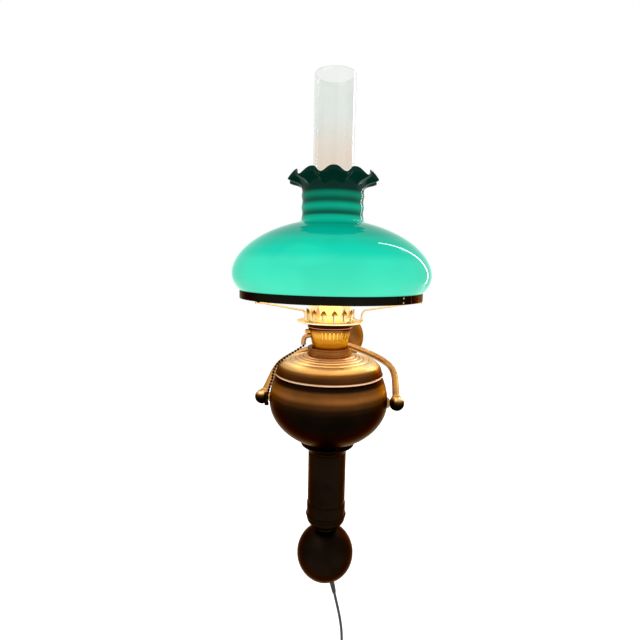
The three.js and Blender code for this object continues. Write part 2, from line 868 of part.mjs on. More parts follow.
function chainGuide() {
  const along = (out, height) => new THREE.Vector3(-out, -pull.housingHalfWidth, height);
  const corner = along(pull.guideOut, guideHeight);
  const bendStart = along(pull.guideOut - pull.guideBend, guideHeight);
  const bendEnd = along(pull.guideOut, guideHeight - pull.guideBend);
  const path = new THREE.CurvePath();
  path.add(new THREE.LineCurve3(along(pull.guideStart, guideHeight), bendStart));
  path.add(new THREE.QuadraticBezierCurve3(bendStart, corner, bendEnd));
  path.add(new THREE.LineCurve3(bendEnd, guideMouth));
  const section = roundSection(pull.guideRadius, tinySteps);
  section.holes.push(new THREE.Path(roundSection(pull.guideBore, tinySteps).getPoints()));
  return new THREE.ExtrudeGeometry(section, { steps: 9, extrudePath: path });
}

// The chain hangs from the guide's mouth over the fount's shoulder and ridge and down the bowl.
function chainCurve() {
  const clear = pull.beadRadius + seatGap;
  const beside = (radius, aside, height) => {
    return new THREE.Vector3(-Math.sqrt(radius * radius - aside * aside), -aside, height);
  };
  const points = [guideMouth.clone().add(new THREE.Vector3(0, 0, -clear))];
  for (const turn of shoulderTurns) {
    const across = (shoulderRadius - cover.plateRadius + clear) * Math.cos(turn * degree);
    const height = (cover.shoulderRise + clear) * Math.sin(turn * degree);
    points.push(beside(cover.plateRadius + across, pull.aside, shoulderFoot + height));
  }
  points.push(beside(ridgeRadius + clear + seatGap, pull.aside, ridgeHeight));
  for (const share of chainHeightShares) {
    const height = bowl.rimHeight * share;
    points.push(beside(bowlRadiusAt(height) + clear + seatGap, pull.aside, height));
  }
  const bellReach = bowl.radius + pull.bellRadius + seatGap;
  points.push(beside(bellReach, pull.aside, pull.bellTop + seatGap));
  return new THREE.CatmullRomCurve3(points);
}

function pullChain() {
  const curve = chainCurve();
  const beads = Math.round(curve.getLength() / pull.beadPitch);
  const points = [];
  const radii = [];
  for (let bead = 0; bead < beads; bead++) {
    for (const share of beadRingShares) {
      points.push(curve.getPointAt((bead + share) / beads));
      radii.push(share > 0 ? pull.beadRadius : pull.linkRadius);
    }
  }
  points.push(curve.getPointAt(1));
  radii.push(pull.linkRadius);
  return swept(points, radii, 6, new THREE.Vector3(0, 1, 0));
}

function chainBell() {
  const end = chainCurve().getPointAt(1);
  const height = pull.bellHeight;
  const outline = [
    point(0, 0),
    point(pull.bellNeck, 0),
    point(pull.bellNeck, -height / 2),
    point(pull.bellRadius, pull.bellRim - height),
    point(pull.bellRadius, -height),
    point(0, -height),
  ];
  return turned(outline, rodSteps).translate(end.x, end.y, pull.bellTop);
}

function shadeRing() {
  const low = ring.bottom;
  const high = low + ring.height;
  const ledge = ring.radius - ring.ledge;
  const inner = ring.radius - ring.sheet;
  const outline = [
    point(ledge, low),
    point(ring.radius, low),
    point(ring.radius, high),
    point(inner, high),
    point(inner, low + ring.sheet),
    point(ledge, low + ring.sheet),
  ];
  return turned(outline, shadeSteps);
}

// A strip from the ring's ledge, sloping in and then down onto the gallery's flange.
function shadeArm(turn) {
  const high = ring.bottom - seatGap - ring.armSheet / 2;
  const kneeHeight = high - ring.armFall;
  const foot = gallery.radius - ring.armFootInset;
  const along = (radius, height) => new THREE.Vector3(0, -radius, height);
  const ledge = along(ring.radius - ring.ledge, high);
  const kneeStart = along(foot + ring.armKnee, kneeHeight);
  const kneeEnd = along(foot, kneeHeight - ring.armKnee);
  const path = new THREE.CurvePath();
  path.add(new THREE.LineCurve3(along(ring.radius - seatGap, high), ledge));
  path.add(new THREE.LineCurve3(ledge, kneeStart));
  path.add(new THREE.QuadraticBezierCurve3(kneeStart, along(foot, kneeHeight), kneeEnd));
  path.add(new THREE.LineCurve3(kneeEnd, along(foot, galleryTop + seatGap)));
  const halfSheet = ring.armSheet / 2;
  const halfWidth = ring.armWidth / 2;
  const section = closedShape([
    [-halfSheet, -halfWidth],
    [halfSheet, -halfWidth],
    [halfSheet, halfWidth],
    [-halfSheet, halfWidth],
  ]);
  const strip = new THREE.ExtrudeGeometry(section, { steps: 12, extrudePath: path });
  return strip.rotateZ(turn * degree);
}

const shadeFoot = ring.bottom + ring.sheet + seatGap;
const equatorHeight = ring.bottom + glass.equatorRise;
const domeRise = reachAt(glass.neckRadius, glass.equatorRadius, glass.upperHalf, glass.upperPower);
const neckFoot = equatorHeight + domeRise;

// The shade's side, a given way in from its outer face, before its mouth is ruffled.
function shadeSide(inset, fine) {
  const foot = ring.radius - ring.sheet - 2 * seatGap - inset;
  const radius = glass.equatorRadius - inset;
  const neck = glass.neckRadius - inset;
  const half = glass.upperHalf - inset;
  const lift = equatorHeight - ring.bottom - ring.height - seatGap;
  const domeHeight = reachAt(neck, radius, half, glass.upperPower);
  const lower = roundedArc(radius, glass.lowerHalf, circlePower, lift, fine ? 2 : 1);
  const upper = roundedArc(radius, half, glass.upperPower, domeHeight, fine ? 5 : 3);
  const side = [point(foot, shadeFoot), point(foot, equatorHeight - lift)];
  side.push(...shifted(mirroredDown(lower), 0, equatorHeight));
  side.push(...shifted(upper, 0, equatorHeight).slice(1));
  const bands = fine ? 2 * neckRings - 1 : 0;
  for (let i = 1; i <= bands; i++) {
    const swell = i % 2 === 1 ? glass.neckSwell : 0;
    const share = i / (bands + 1);
    side.push(point(neck + swell, neckFoot + glass.neckHeight * share));
  }
  const flareFoot = neckFoot + glass.neckHeight;
  side.push(point(neck, flareFoot));
  const flare = glass.mouthRadius - glass.neckRadius;
  for (const [outward, upward] of flareShares) {
    const dip = inset * outward;
    side.push(point(neck + dip / 2 + flare * outward, flareFoot + glass.mouthRise * upward + dip / 2));
  }
  return side;
}

function shade() {
  const outer = shadeSide(0, true);
  const geometry = turned(sheetOutline(outer, shadeSide(glass.shadeSheet, false)), shadeSteps);
  const flareFoot = outer.at(-1).y - glass.mouthRise;
  const position = geometry.getAttribute("position");
  for (let i = 0; i < position.count; i++) {
    const share = Math.min(Math.max((position.getZ(i) - flareFoot) / glass.mouthRise, 0), 1);
    if (share > 0) {
      const x = position.getX(i);
      const y = position.getY(i);
      const wave = Math.cos(lobeCount * Math.atan2(x, -y)) * share * share;
      const pulled = 1 - (glass.lobePull * wave) / Math.hypot(x, y);
      position.setXYZ(i, x * pulled, y * pulled, position.getZ(i) + glass.lobeLift * wave);
    }
  }
  return geometry;
}

function chimney() {
  const low = galleryTop + seatGap;
  const sides = [0, glass.chimneySheet].map((inset) => [
    point(glass.footRadius - inset, low),
    point(glass.footRadius - inset, low + glass.footHeight),
    point(glass.chimneyRadius - inset, low + glass.footHeight + glass.footTaper),
    point(glass.chimneyRadius - inset, low + glass.chimneyHeight),
  ]);
  return turned(sheetOutline(...sides), wideSteps);
}

// Heights of the stem's pieces, down from the bowl's base.
const spacerLow = -bowlDepth - seatGap - stem.spacerHeight;
const cupHigh = spacerLow - seatGap;
const cupLow = cupHigh - stem.cupHeight;
const tubeHigh = cupLow - seatGap;
const tubeLow = tubeHigh - stem.tubeLength;
const sleeveHigh = tubeLow - seatGap;
const sleeveLow = sleeveHigh - stem.sleeveLength;
const endHigh = sleeveLow - seatGap;
const endLow = endHigh - stem.endHeight;
const neckLow = endLow - stem.neckHeight;
const ballHigh = neckLow - seatGap;
const ballCentre = ballHigh - reachAt(stem.endRadius, ball.radius, ball.radius, circlePower);
const exitDrop = reachAt(ball.exitAside, ball.radius, ball.radius, circlePower);
const exitDirection = new THREE.Vector3(ball.exitAside, 0, -exitDrop).normalize();
const ballMiddle = new THREE.Vector3(0, 0, ballCentre);

function stemCup() {
  const throat = stem.radius + stem.cupSheet;
  const hub = bowl.baseRadius / 2;
  const dish = cupLow + stem.cupSheet;
  const outline = [
    point(rodHole, cupLow),
    point(stem.radius, cupLow),
    point(stem.cupRadius, cupHigh - stem.cupRim),
    point(stem.cupRadius, cupHigh),
    point(stem.cupRadius - stem.cupSheet, cupHigh),
    point(throat - stem.cupSheet, dish),
    point(hub, dish),
    point(hub, cupHigh),
    point(rodHole, cupHigh),
  ];
  return turned(outline, stemSteps);
}

function stemSleeve() {
  const radius = stem.radius + stem.sleeveOut;
  const bore = stem.radius - stem.sheet;
  const outline = [point(bore, sleeveLow), point(radius, sleeveLow)];
  for (let i = 0; i <= 3; i++) {
    const angle = (Math.PI * i) / 3 - Math.PI / 2;
    const height = sleeveLow + 2 * stem.bead + stem.bead * Math.sin(angle);
    outline.push(point(radius + stem.bead * Math.cos(angle), height));
  }
  outline.push(point(radius, sleeveHigh - stem.sleeveOut), point(stem.radius, sleeveHigh));
  outline.push(point(bore, sleeveHigh));
  return turned(outline, stemSteps);
}

function stemEnd() {
  const wide = stem.radius + stem.sleeveOut;
  const curve = roundedArc(wide - stem.endRadius, stem.endHeight, circlePower, stem.endHeight, 4);
  const neck = stem.endRadius - stem.neckInset;
  const outline = [
    point(rodHole, neckLow),
    point(stem.endRadius, neckLow),
    point(neck, neckLow + stem.neckInset),
    point(neck, endLow),
    ...shifted(mirroredDown(curve), stem.endRadius, endHigh),
    point(rodHole, endHigh),
  ];
  return turned(outline, stemSteps);
}

function ballShell() {
  const sides = [0, ball.sheet].map((inset) => {
    const radius = ball.radius - inset;
    const flat = ballHigh - ballCentre - inset;
    const low = roundedArc(radius, radius, circlePower, radius, 4);
    const high = roundedArc(radius, radius, circlePower, flat, 3);
    return [...mirroredDown(low), ...high.slice(1), point(rodHole, flat)];
  });
  const shell = turned(sheetOutline(...sides), stemSteps).translate(0, 0, ballCentre);
  const start = ballMiddle.clone().addScaledVector(exitDirection, ball.radius - ball.bushingFlange);
  return cut(shell, rodAlong(start, exitDirection, ball.bushingRadius + seatGap, ball.radius));
}

function ballast() {
  const radius = ball.radius - ball.sheet - ball.ballastGap;
  const floor = ball.rodEnd - seatGap;
  const outline = [
    ...mirroredDown(roundedArc(radius, radius, circlePower, radius, 4)),
    ...roundedArc(radius, radius, circlePower, ball.ballastRise, 2).slice(1),
    point(rodHole, ball.ballastRise),
    point(rodHole, floor),
    point(0, floor),
  ];
  const body = turned(outline, rodSteps).translate(0, 0, ballCentre);
  const wayRadius = ball.bushingFlange + seatGap;
  return cut(body, rodAlong(ballMiddle, exitDirection, wayRadius, ball.radius));
}

function cordBushing() {
  const low = ball.radius - ball.sheet - ball.bushingInset - ball.bushingSheet;
  const high = ball.radius + ball.bushingProud;
  const bore = cord.diameter / 2 + seatGap;
  const outline = [
    point(bore, low),
    point(ball.bushingFlange, low),
    point(ball.bushingFlange, low + ball.bushingSheet),
    point(ball.bushingRadius, low + ball.bushingSheet),
    point(ball.bushingRadius, high - ball.bushingSheet),
    point(ball.bushingRadius - ball.bushingSheet / 2, high),
    point(bore, high),
  ];
  return swungTo(turned(outline, rodSteps), ballMiddle, exitDirection);
}

// The hank: long loops that spiral in on the back layer, climb a step along a run, and spiral
// out again in front. One turn is a run down, a fold, a run up and a fold.
const hankTurns = 2 * loopsPerLayer;
const outerFold = cord.foldRadius + loopsPerLayer * cord.hankSpacing;
const hankMiddle = -cord.hankTop - cord.runLength / 2;

function hankPoint(turns) {
  const across = cord.foldRadius + cord.hankSpacing * Math.abs(turns - loopsPerLayer);
  const stepsDone = (turns % 1) * 2 * (runSteps + foldSteps);
  const half = stepsDone < runSteps + foldSteps ? 1 : -1;
  const inHalf = half > 0 ? stepsDone : stepsDone - runSteps - foldSteps;
  const climb = ((turns - loopsPerLayer) * 2 * (runSteps + foldSteps)) / runSteps;
  const forward = -cord.hankSpacing * Math.min(Math.max(climb, 0), 1);
  const reach = cord.runLength / 2;
  if (inHalf <= runSteps) {
    const share = inHalf / runSteps;
    const drawn = cord.waistDraw * Math.sin(Math.PI * share) ** 2;
    const height = hankMiddle + half * reach * (1 - 2 * share);
    return new THREE.Vector3(half * (across - drawn), forward, height);
  }
  const angle = (Math.PI * (inHalf - runSteps)) / foldSteps;
  const height = hankMiddle - half * (reach + across * Math.sin(angle));
  return new THREE.Vector3(half * across * Math.cos(angle), forward, height);
}

function hankRoute() {
  const stepsPerTurn = 2 * (runSteps + foldSteps);
  const points = [];
  for (let i = 0; i <= hankTurns * stepsPerTurn + runSteps; i++) {
    points.push(hankPoint(i / stepsPerTurn));
  }
  const first = points[0];
  const last = points.at(-1);
  points.unshift(first.clone().add(new THREE.Vector3(0, 0, cord.diameter)));
  points.push(last.clone().add(new THREE.Vector3(0, 0, -cord.tailLength)));
  return points;
}

// The least clearance between stretches of the hank that aren't neighbours along it.
function hankSelfGap(points) {
  const dense = new THREE.CatmullRomCurve3(points).getSpacedPoints(points.length * 6);
  const spacing = dense[0].distanceTo(dense[1]);
  const skip = Math.ceil((cord.foldRadius * 2) / spacing);
  let least = Infinity;
  for (let i = 0; i < dense.length; i++) {
    for (let j = i + skip; j < dense.length; j++) {
      least = Math.min(least, dense[i].distanceTo(dense[j]));
    }
  }
  return least - cord.diameter;
}

// The cord's free stretch, from inside the bushing to the hank. The route below the bushing is
// chosen by hand: how far aside and how far below the ball's middle each point lies.
const dropRoute = [
  [11.4, 48.4],
  [14.2, 60],
  [17.2, 72.5],
  [20.2, 85],
  [22.9, 97.5],
  [25.1, 110],
  [26.5, 122],
  [27.1, 134],
  [27.1, 146],
  [27.1, 158],
];

function dropCurve() {
  const start = ballMiddle.clone().addScaledVector(exitDirection, ball.radius);
  const mouth = ballMiddle.clone().addScaledVector(exitDirection, ball.radius + ball.bushingProud);
  const points = [start, mouth];
  for (const [aside, below] of dropRoute) {
    points.push(new THREE.Vector3(aside, 0, ballCentre - below));
  }
  const end = new THREE.Vector3(outerFold, 0, cord.diameter - cord.hankTop + seatGap);
  points.push(end);
  return new THREE.CatmullRomCurve3(points);
}

function cordDrop() {
  const section = roundSection(cord.diameter / 2, tinySteps);
  return new THREE.ExtrudeGeometry(section, { steps: 16, extrudePath: dropCurve() });
}

function hankTie() {
  const drawn = cord.waistDraw * (1 - cord.tieHeight / cord.runLength);
  const halfWidth = outerFold - drawn + cord.diameter / 2 + cord.tieGap;
  const halfDepth = (cord.hankSpacing + cord.diameter) / 2 + cord.tieGap;
  const outline = (grow) => {
    const x = halfWidth + grow;
    const y = halfDepth + grow;
    const bevel = cord.diameter / 2;
    return [
      [-x + bevel, -y],
      [x - bevel, -y],
      [x, -y + bevel],
      [x, y - bevel],
      [x - bevel, y],
      [-x + bevel, y],
      [-x, y - bevel],
      [-x, -y + bevel],
    ];
  };
  const band = closedShape(outline(cord.tieSheet));
  band.holes.push(new THREE.Path(closedShape(outline(0)).getPoints()));
  const geometry = new THREE.ExtrudeGeometry(band, { depth: cord.tieHeight, bevelEnabled: false });
  return geometry.translate(0, -cord.hankSpacing / 2, hankMiddle - cord.tieHeight / 2);
}

const tailEnd = -cord.hankTop - cord.runLength - cord.tailLength;
const reliefHigh = tailEnd - seatGap;
const plugHigh = reliefHigh - cord.reliefLength;
const plugLow = plugHigh - cord.plugLength;

function plugBody() {
  const x = cord.plugWidth / 2;
  const y = cord.plugDepth / 2;
  const c = cord.plugChamfer;
  const shape = closedShape([
    [c - x, -y],
    [x - c, -y],
    [x, c - y],
    [x, y - c],
    [x - c, y],
    [c - x, y],
    [-x, y - c],
    [-x, c - y],
  ]);
  const block = new THREE.ExtrudeGeometry(shape, { depth: cord.plugLength, bevelEnabled: false });
  const relief = turned(
    [
      point(0, plugHigh - overrun),
      point(cord.reliefRadius, plugHigh - overrun),
      point(cord.reliefRadius, plugHigh),
      point(cord.diameter / 2 + seatGap, reliefHigh),
      point(0, reliefHigh),
    ],
    rodSteps,
  );
  return join(block.translate(0, 0, plugLow), relief).translate(outerFold, -cord.hankSpacing, 0);
}

function plugBlade(side) {
  const box = new THREE.BoxGeometry(cord.bladeSheet, cord.bladeWidth, cord.bladeLength);
  const across = outerFold + (side * cord.bladeSpacing) / 2;
  return box.translate(across, -cord.hankSpacing, plugLow - seatGap - cord.bladeLength / 2);
}

function addFount() {
  place(lampGroup, "fount_bowl", fountBowl(), materials.agedBrass);
  place(lampGroup, "fount_top", fountTop(), materials.paleBrass);
  place(lampGroup, "fount_boss_left", fountBoss(-1), materials.paleBrass);
  place(lampGroup, "fount_boss_right", fountBoss(1), materials.paleBrass);
  place(lampGroup, "fount_collar", fountCollar(), materials.agedBrass);
}

function addBurner() {
  place(lampGroup, "burner_basket", burnerBasket(), materials.giltBrass);
  place(lampGroup, "burner_gallery", burnerGallery(), materials.giltBrass);
  place(lampGroup, "socket_stand", socketStand(), materials.agedBrass);
  place(lampGroup, "lamp_socket", lampSocket(), materials.giltBrass);
  const linerFoot = socketFoot + socket.sheet + seatGap;
  const liner = tube(linerRadius, socket.capRadius + seatGap, linerFoot, socketTop, stemSteps);
  place(lampGroup, "socket_liner", liner, materials.porcelain);
  const capFoot = socketFoot + socket.capLift;
  place(lampGroup, "bulb_cap", disc(socket.capRadius, capFoot, socketTop), materials.steel);
  place(lampGroup, "bulb_glass", bulbGlass(), materials.bulbGlass);
  place(lampGroup, "switch_housing", switchHousing(0), materials.agedBrass);
  place(lampGroup, "chain_guide", chainGuide(), materials.paleBrass);
  place(lampGroup, "pull_chain", pullChain(), materials.bronze);
  place(lampGroup, "chain_bell", chainBell(), materials.bronze);
}

function addGlass() {
  place(lampGroup, "shade_ring", shadeRing(), materials.ringBrass);
  armTurns.forEach((turn, i) => {
    place(lampGroup, `shade_arm_${i + 1}`, shadeArm(turn), materials.giltBrass);
  });
  place(lampGroup, "shade", shade(), materials.greenGlass);
  place(lampGroup, "chimney", chimney(), materials.clearGlass);
}

function addStem() {
  const nutFoot = socketFoot + socket.sheet + seatGap;
  const nutTop = nutFoot + stem.nutHeight;
  place(lampGroup, "socket_nut", hexNut(stem.nutRadius, rodHole, nutFoot, nutTop), materials.steel);
  const rod = tube(stem.rodRadius, stem.rodBore, ballCentre + ball.rodEnd, nutTop + seatGap);
  place(lampGroup, "centre_rod", rod, materials.steel);
  const spacerRadius = bowl.baseRadius - stem.spacerHeight;
  const spacer = tube(spacerRadius, rodHole, spacerLow, -bowlDepth - seatGap, stemSteps);
  place(lampGroup, "stem_spacer", spacer, materials.bronze);
  place(lampGroup, "stem_cup", stemCup(), materials.bronze);
  const stemTube = tube(stem.radius, stem.radius - stem.sheet, tubeLow, tubeHigh, stemSteps);
  place(lampGroup, "stem_tube", stemTube, materials.bronze);
  place(lampGroup, "stem_sleeve", stemSleeve(), materials.bronze);
  place(lampGroup, "stem_end", stemEnd(), materials.bronze);
  place(lampGroup, "ball_shell", ballShell(), materials.bronze);
  place(lampGroup, "ballast", ballast(), materials.iron);
  place(lampGroup, "cord_bushing", cordBushing(), materials.darkRubber);
}

function addCord() {
  const route = hankRoute();
  const radii = route.map(() => cord.diameter / 2);
  const dropLength = dropCurve().getLength();
  const hankLength = new THREE.CatmullRomCurve3(route).getLength();
  console.log(`hank self gap ${hankSelfGap(route).toFixed(2)} mm`);
  console.log(`cord length ${(dropLength + hankLength).toFixed(0)} mm`);
  place(lampGroup, "cord_drop", cordDrop(), materials.cordCover);
  const sideways = new THREE.Vector3(0, 1, 0);
  place(lampGroup, "cord_hank", swept(route, radii, 6, sideways), materials.cordCover);
  place(lampGroup, "hank_tie", hankTie(), materials.darkRubber);
  place(lampGroup, "plug_body", plugBody(), materials.darkRubber);
  place(lampGroup, "plug_blade_left", plugBlade(-1), materials.plugBrass);
  place(lampGroup, "plug_blade_right", plugBlade(1), materials.plugBrass);
}

addWallBracket();
addYoke();
addFount();
addBurner();
addGlass();
addStem();
addCord();

export default object;
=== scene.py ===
"""The looks of a gimballed brass wall lamp, built round its CAD frame.

Lengths are in metres in the frame of the CAD part: +Z is up, the wall is the plane y = 0, and the
lamp hangs in front of it at negative y. Turned pieces are given by an outline of radius and height.
"""

import math

import bmesh
import bpy
from bpy.props import FloatProperty, FloatVectorProperty, IntProperty, PointerProperty
from mathutils import Matrix, Vector


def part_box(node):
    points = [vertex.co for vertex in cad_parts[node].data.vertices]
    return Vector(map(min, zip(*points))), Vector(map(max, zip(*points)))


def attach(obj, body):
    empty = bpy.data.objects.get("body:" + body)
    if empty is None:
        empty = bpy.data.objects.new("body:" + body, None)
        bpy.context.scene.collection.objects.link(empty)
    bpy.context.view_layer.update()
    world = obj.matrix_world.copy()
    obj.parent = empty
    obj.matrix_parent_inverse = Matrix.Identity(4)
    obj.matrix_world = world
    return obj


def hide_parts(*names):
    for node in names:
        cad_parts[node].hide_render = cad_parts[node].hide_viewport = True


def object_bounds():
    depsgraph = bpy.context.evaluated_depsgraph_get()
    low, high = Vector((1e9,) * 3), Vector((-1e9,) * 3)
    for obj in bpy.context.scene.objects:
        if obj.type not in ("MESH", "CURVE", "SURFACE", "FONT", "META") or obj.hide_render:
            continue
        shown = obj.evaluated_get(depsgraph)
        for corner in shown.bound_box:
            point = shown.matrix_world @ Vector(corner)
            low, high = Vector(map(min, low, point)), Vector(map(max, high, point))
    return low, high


bl_info = {
    "name": "Gimballed wall lamp",
    "version": (1, 0, 0),
    "blender": (4, 5, 0),
    "location": "View3D > Sidebar > Lamp",
    "description": "Builds a brass wall lamp with a green glass shade, piece by piece",
    "category": "Object",
}

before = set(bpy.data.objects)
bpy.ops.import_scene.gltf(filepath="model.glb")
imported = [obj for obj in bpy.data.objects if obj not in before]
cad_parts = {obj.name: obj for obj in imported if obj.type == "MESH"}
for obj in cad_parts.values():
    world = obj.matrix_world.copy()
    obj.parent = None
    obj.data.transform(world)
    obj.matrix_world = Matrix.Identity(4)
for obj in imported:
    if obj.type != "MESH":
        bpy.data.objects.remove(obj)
cad_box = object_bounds()

MM = 0.001
FULL_TURN = 2 * math.pi
ON_AXIS = 1e-7
UP = Vector((0, 0, 1))

# How many sides a turned form has.
WIDEST, WIDE, BROAD, SLIM, SMALL = 240, 144, 128, 96, 64

# Forms that more than one piece follows.
PLATE_RADIUS = 53 * MM
SHOULDER_RISE = 16.5 * MM
UPPER_BOWL = 79.6 * MM
BASKET_NECK = 11 * MM
ROD_HOLE = 5.3 * MM

BOXES = {node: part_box(node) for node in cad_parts}


def middle(node):
    low, high = BOXES[node]
    return (low + high) / 2


def box_of(node):
    """A CAD node's low and high corners, its middle and half of its size."""
    low, high = BOXES[node]
    return low, high, (low + high) / 2, (high - low) / 2


def span(node):
    """The radius, foot and top of a CAD node that is turned round the lamp's axis."""
    low, high = BOXES[node]
    return (high.x - low.x) / 2, low.z, high.z


def wall_span(node):
    """The radius of a CAD node turned round the spindle, and how far out it starts and ends."""
    low, high = BOXES[node]
    return (high.z - low.z) / 2, -high.y, -low.y


LAMP = Matrix.Translation((0, middle("fount_collar").y, 0))
PIVOT_HEIGHT = middle("pivot_pin_left").z
FROM_WALL = Matrix.Rotation(math.pi / 2, 4, "X")


def linear(code):
    """The linear colour of a six-digit screen colour."""
    shares = [int(code[i : i + 2], 16) / 255 for i in (0, 2, 4)]
    return tuple(s / 12.92 if s <= 0.04045 else ((s + 0.055) / 1.055) ** 2.4 for s in shares)


def length(name, description, default):
    return FloatProperty(
        name=name, description=description, default=default, unit="LENGTH", precision=4
    )


def colour(name, description, code):
    return FloatVectorProperty(
        name=name,
        description=description,
        default=linear(code),
        subtype="COLOR",
        size=3,
        min=0,
        max=1,
    )


def watts(name, description, default):
    return FloatProperty(name=name, description=description, default=default, unit="POWER", min=0)


def tilt(name, description, degrees):
    return FloatProperty(
        name=name, description=description, default=math.radians(degrees), unit="ROTATION"
    )


def how_many(name, description, default):
    return IntProperty(name=name, description=description, default=default, min=3)


class LampSizes(bpy.types.PropertyGroup):
    """Sizes that are not set by the frame."""

    lobe_count: how_many("Lobes", "Lobes round the mouth", 12)
    lobe_lift: length("Lobe lift", "How far a lobe rises and falls", 4 * MM)
    lobe_pull: length("Lobe pull", "How far a lobe moves in and out", 2.5 * MM)
    shade_wall: length("Shade glass", "Thickness of the shade's glass", 3.2 * MM)
    neck_radius: length("Neck radius", "The shade's neck between its rings", 38.8 * MM)
    neck_swell: length("Neck rings", "How far the neck's rings stand out", 1.1 * MM)
    chimney_wall: length("Chimney glass", "Thickness of the chimney's glass", 2 * MM)
    crown_points: how_many("Points", "Points of the crown", 14)
    slot_places: how_many("Slots", "Slot places round the burner", 32)
    slot_width: length("Slot width", "Width of a burner slot", 1.9 * MM)
    sheet: length("Sheet", "Thickness of the brass sheet", 1 * MM)
    arm_radius: length("Yoke rod", "Radius of the yoke's bent rod", 5 * MM)
    bead_radius: length("Bead radius", "Radius of the chain's beads", 1.6 * MM)
    bead_pitch: length("Bead pitch", "From one bead to the next", 4.25 * MM)
    cord_diameter: length("Cord diameter", "Across the cord", 4 * MM)


class LampColours(bpy.types.PropertyGroup):
    """The finishes' main colours."""

    aged_brass: colour("Aged brass", "The fount's bowl and the wall dome", "8a5527")
    pale_brass: colour("Pale brass", "The fount's top and the yoke", "c9965c")
    gilt_brass: colour("Gilt brass", "The burner", "dca03c")
    # Paler than the burner's gilt: painted light from the shade above the strips.
    gilt_lit_from_above: colour("Pale gilt", "The strips under the shade's ring", "e6cf9a")
    # Near black: the stem's and the ball's darkness is painted reflection of dark surroundings, and the
    # chain takes the same colour.
    bronze: colour("Bronze", "The stem and the ball", "160e08")
    ring_brass: colour("Blackened brass", "The shade's ring", "17140f")
    steel: colour("Steel", "Screws and pins", "8f8f8d")
    iron: colour("Iron", "The weight in the ball", "3d3d3c")
    shade_glow: colour("Shade glow", "The lit glass at its brightest", "50f0c6")
    shade_glass: colour("Shade glass", "The unlit glass", "033328")
    chimney_tint: colour("Chimney tint", "What the chimney's glass takes from the light", "eef1ee")
    bulb_glow: colour("Bulb glow", "The lit bulb", "ffd98a")
    shade_casing: colour("Shade casing", "The white glass inside the shade", "f6e6c4")
    porcelain: colour("Porcelain", "The socket's liner", "e8e0d0")
    rubber: colour("Rubber", "The plug and the bushing", "1c1712")
    cord: colour("Cord", "The cord's cover", "211912")
    plug_brass: colour("Plug brass", "The plug's blades", "c7a661")


class StudioSettings(bpy.types.PropertyGroup):
    """The camera and the light."""

    camera_place: FloatVectorProperty(
        name="Camera place",
        description="Where the camera stands",
        default=(0.05141, -0.74982, 0.11878),
        subtype="TRANSLATION",
        unit="LENGTH",
    )
    camera_yaw: tilt("Yaw", "How far the camera turns to the right of the wall's normal", -6.470)
    camera_pitch: tilt("Pitch", "How far the camera looks up", -6.935)
    camera_roll: tilt("Roll", "How far the camera leans", 1.138)
    camera_lens: FloatProperty(
        name="Lens",
        description="Focal length for a sensor of 36 mm",
        default=24.68,
        unit="CAMERA",
    )
    key_light: watts("Key light", "Soft light from the upper left", 16)
    fill_light: watts("Fill light", "Soft light from the right", 6)
    edge_light: watts("Edge light", "Narrow light at the right, for the glass", 30)
    room_light: FloatProperty(
        name="Room light", description="Strength of the light all round", default=0.45, min=0
    )
    floor_drop: length("Floor", "How far the floor lies below the plug", 20 * MM)


# Outlines


def point(across, height):
    return Vector((across, height))


def line(*pairs):
    """An outline's points, from pairs of across and height."""
    return [point(*pair) for pair in pairs]


def near(across, height, *steps):
    """Points that lie some millimetres out and up from a corner, one for each step."""
    return [point(across + out * MM, height + up * MM) for out, up in steps]


def block(inner, outer, low, high):
    """The square section of a washer or a sleeve."""
    return line((inner, low), (outer, low), (outer, high), (inner, high))


def reach_at(way, along, across, power):
    """How far a rounded outline still reaches across, where it has come a given way along."""
    return across * (1 - (way / along) ** power) ** (1 / power)


def rounded_arc(radius, half, power, end_height, steps):
    """A quarter of a rounded outline, from its widest line up to a height."""
    end_angle = math.asin(min((end_height / half) ** (power / 2), 1))
    points = []
    for step in range(steps + 1):
        angle = end_angle * step / steps
        across = max(math.cos(angle), 0) ** (2 / power)
        points.append(point(radius * across, half * math.sin(angle) ** (2 / power)))
    return points


def round_end(radius, height, steps, power=2):
    """A rounded outline from its widest line up to the axis."""
    arc = rounded_arc(radius, height, power, height, steps)
    arc[-1].x = 0
    return arc


def circle_arc(centre, radius, start, end, steps):
    """Points of a circle between two angles in degrees, from 0 straight out."""
    points = []
    for step in range(steps + 1):
        angle = math.radians(start + (end - start) * step / steps)
        points.append(centre + radius * point(math.cos(angle), math.sin(angle)))
    return points


def bend(start, corner, end, steps):
    """A curve from start to end that leaves and arrives along the lines to the corner."""
    points = []
    for step in range(steps + 1):
        share = step / steps
        rest = 1 - share
        points.append(start * rest**2 + corner * 2 * rest * share + end * share**2)
    return points


def shifted(points, across, height):
    return [point(p.x + across, p.y + height) for p in points]


def mirrored_down(points):
    return [point(p.x, -p.y) for p in reversed(points)]


def inner_side(outer, thickness):
    """The inner side of a sheet whose outer side runs upward along the given points."""
    inner = []
    for i, here in enumerate(outer):
        along = (outer[min(i + 1, len(outer) - 1)] - outer[max(i - 1, 0)]).normalized()
        inner.append(here + thickness * point(-along.y, along.x))
    return inner


def rounded_edge(start, end, along, steps=4):
    """The points between two sides of a sheet's edge, which bulges the given way."""
    centre = (start + end) / 2
    half = (start - end).length / 2
    points = []
    for step in range(1, steps):
        angle = math.pi * step / steps
        points.append(centre + (start - centre) * math.cos(angle) + along * half * math.sin(angle))
    return points


def sheet_outline(outer, thickness):
    """A closed outline of a sheet with round edges, from its outer side."""
    inner = inner_side(outer, thickness)
    top_way = (outer[-1] - outer[-2]).normalized()
    foot_way = (outer[0] - outer[1]).normalized()
    top = rounded_edge(outer[-1], inner[-1], top_way)
    foot = rounded_edge(inner[0], outer[0], foot_way)
    return outer + top + inner[::-1] + foot


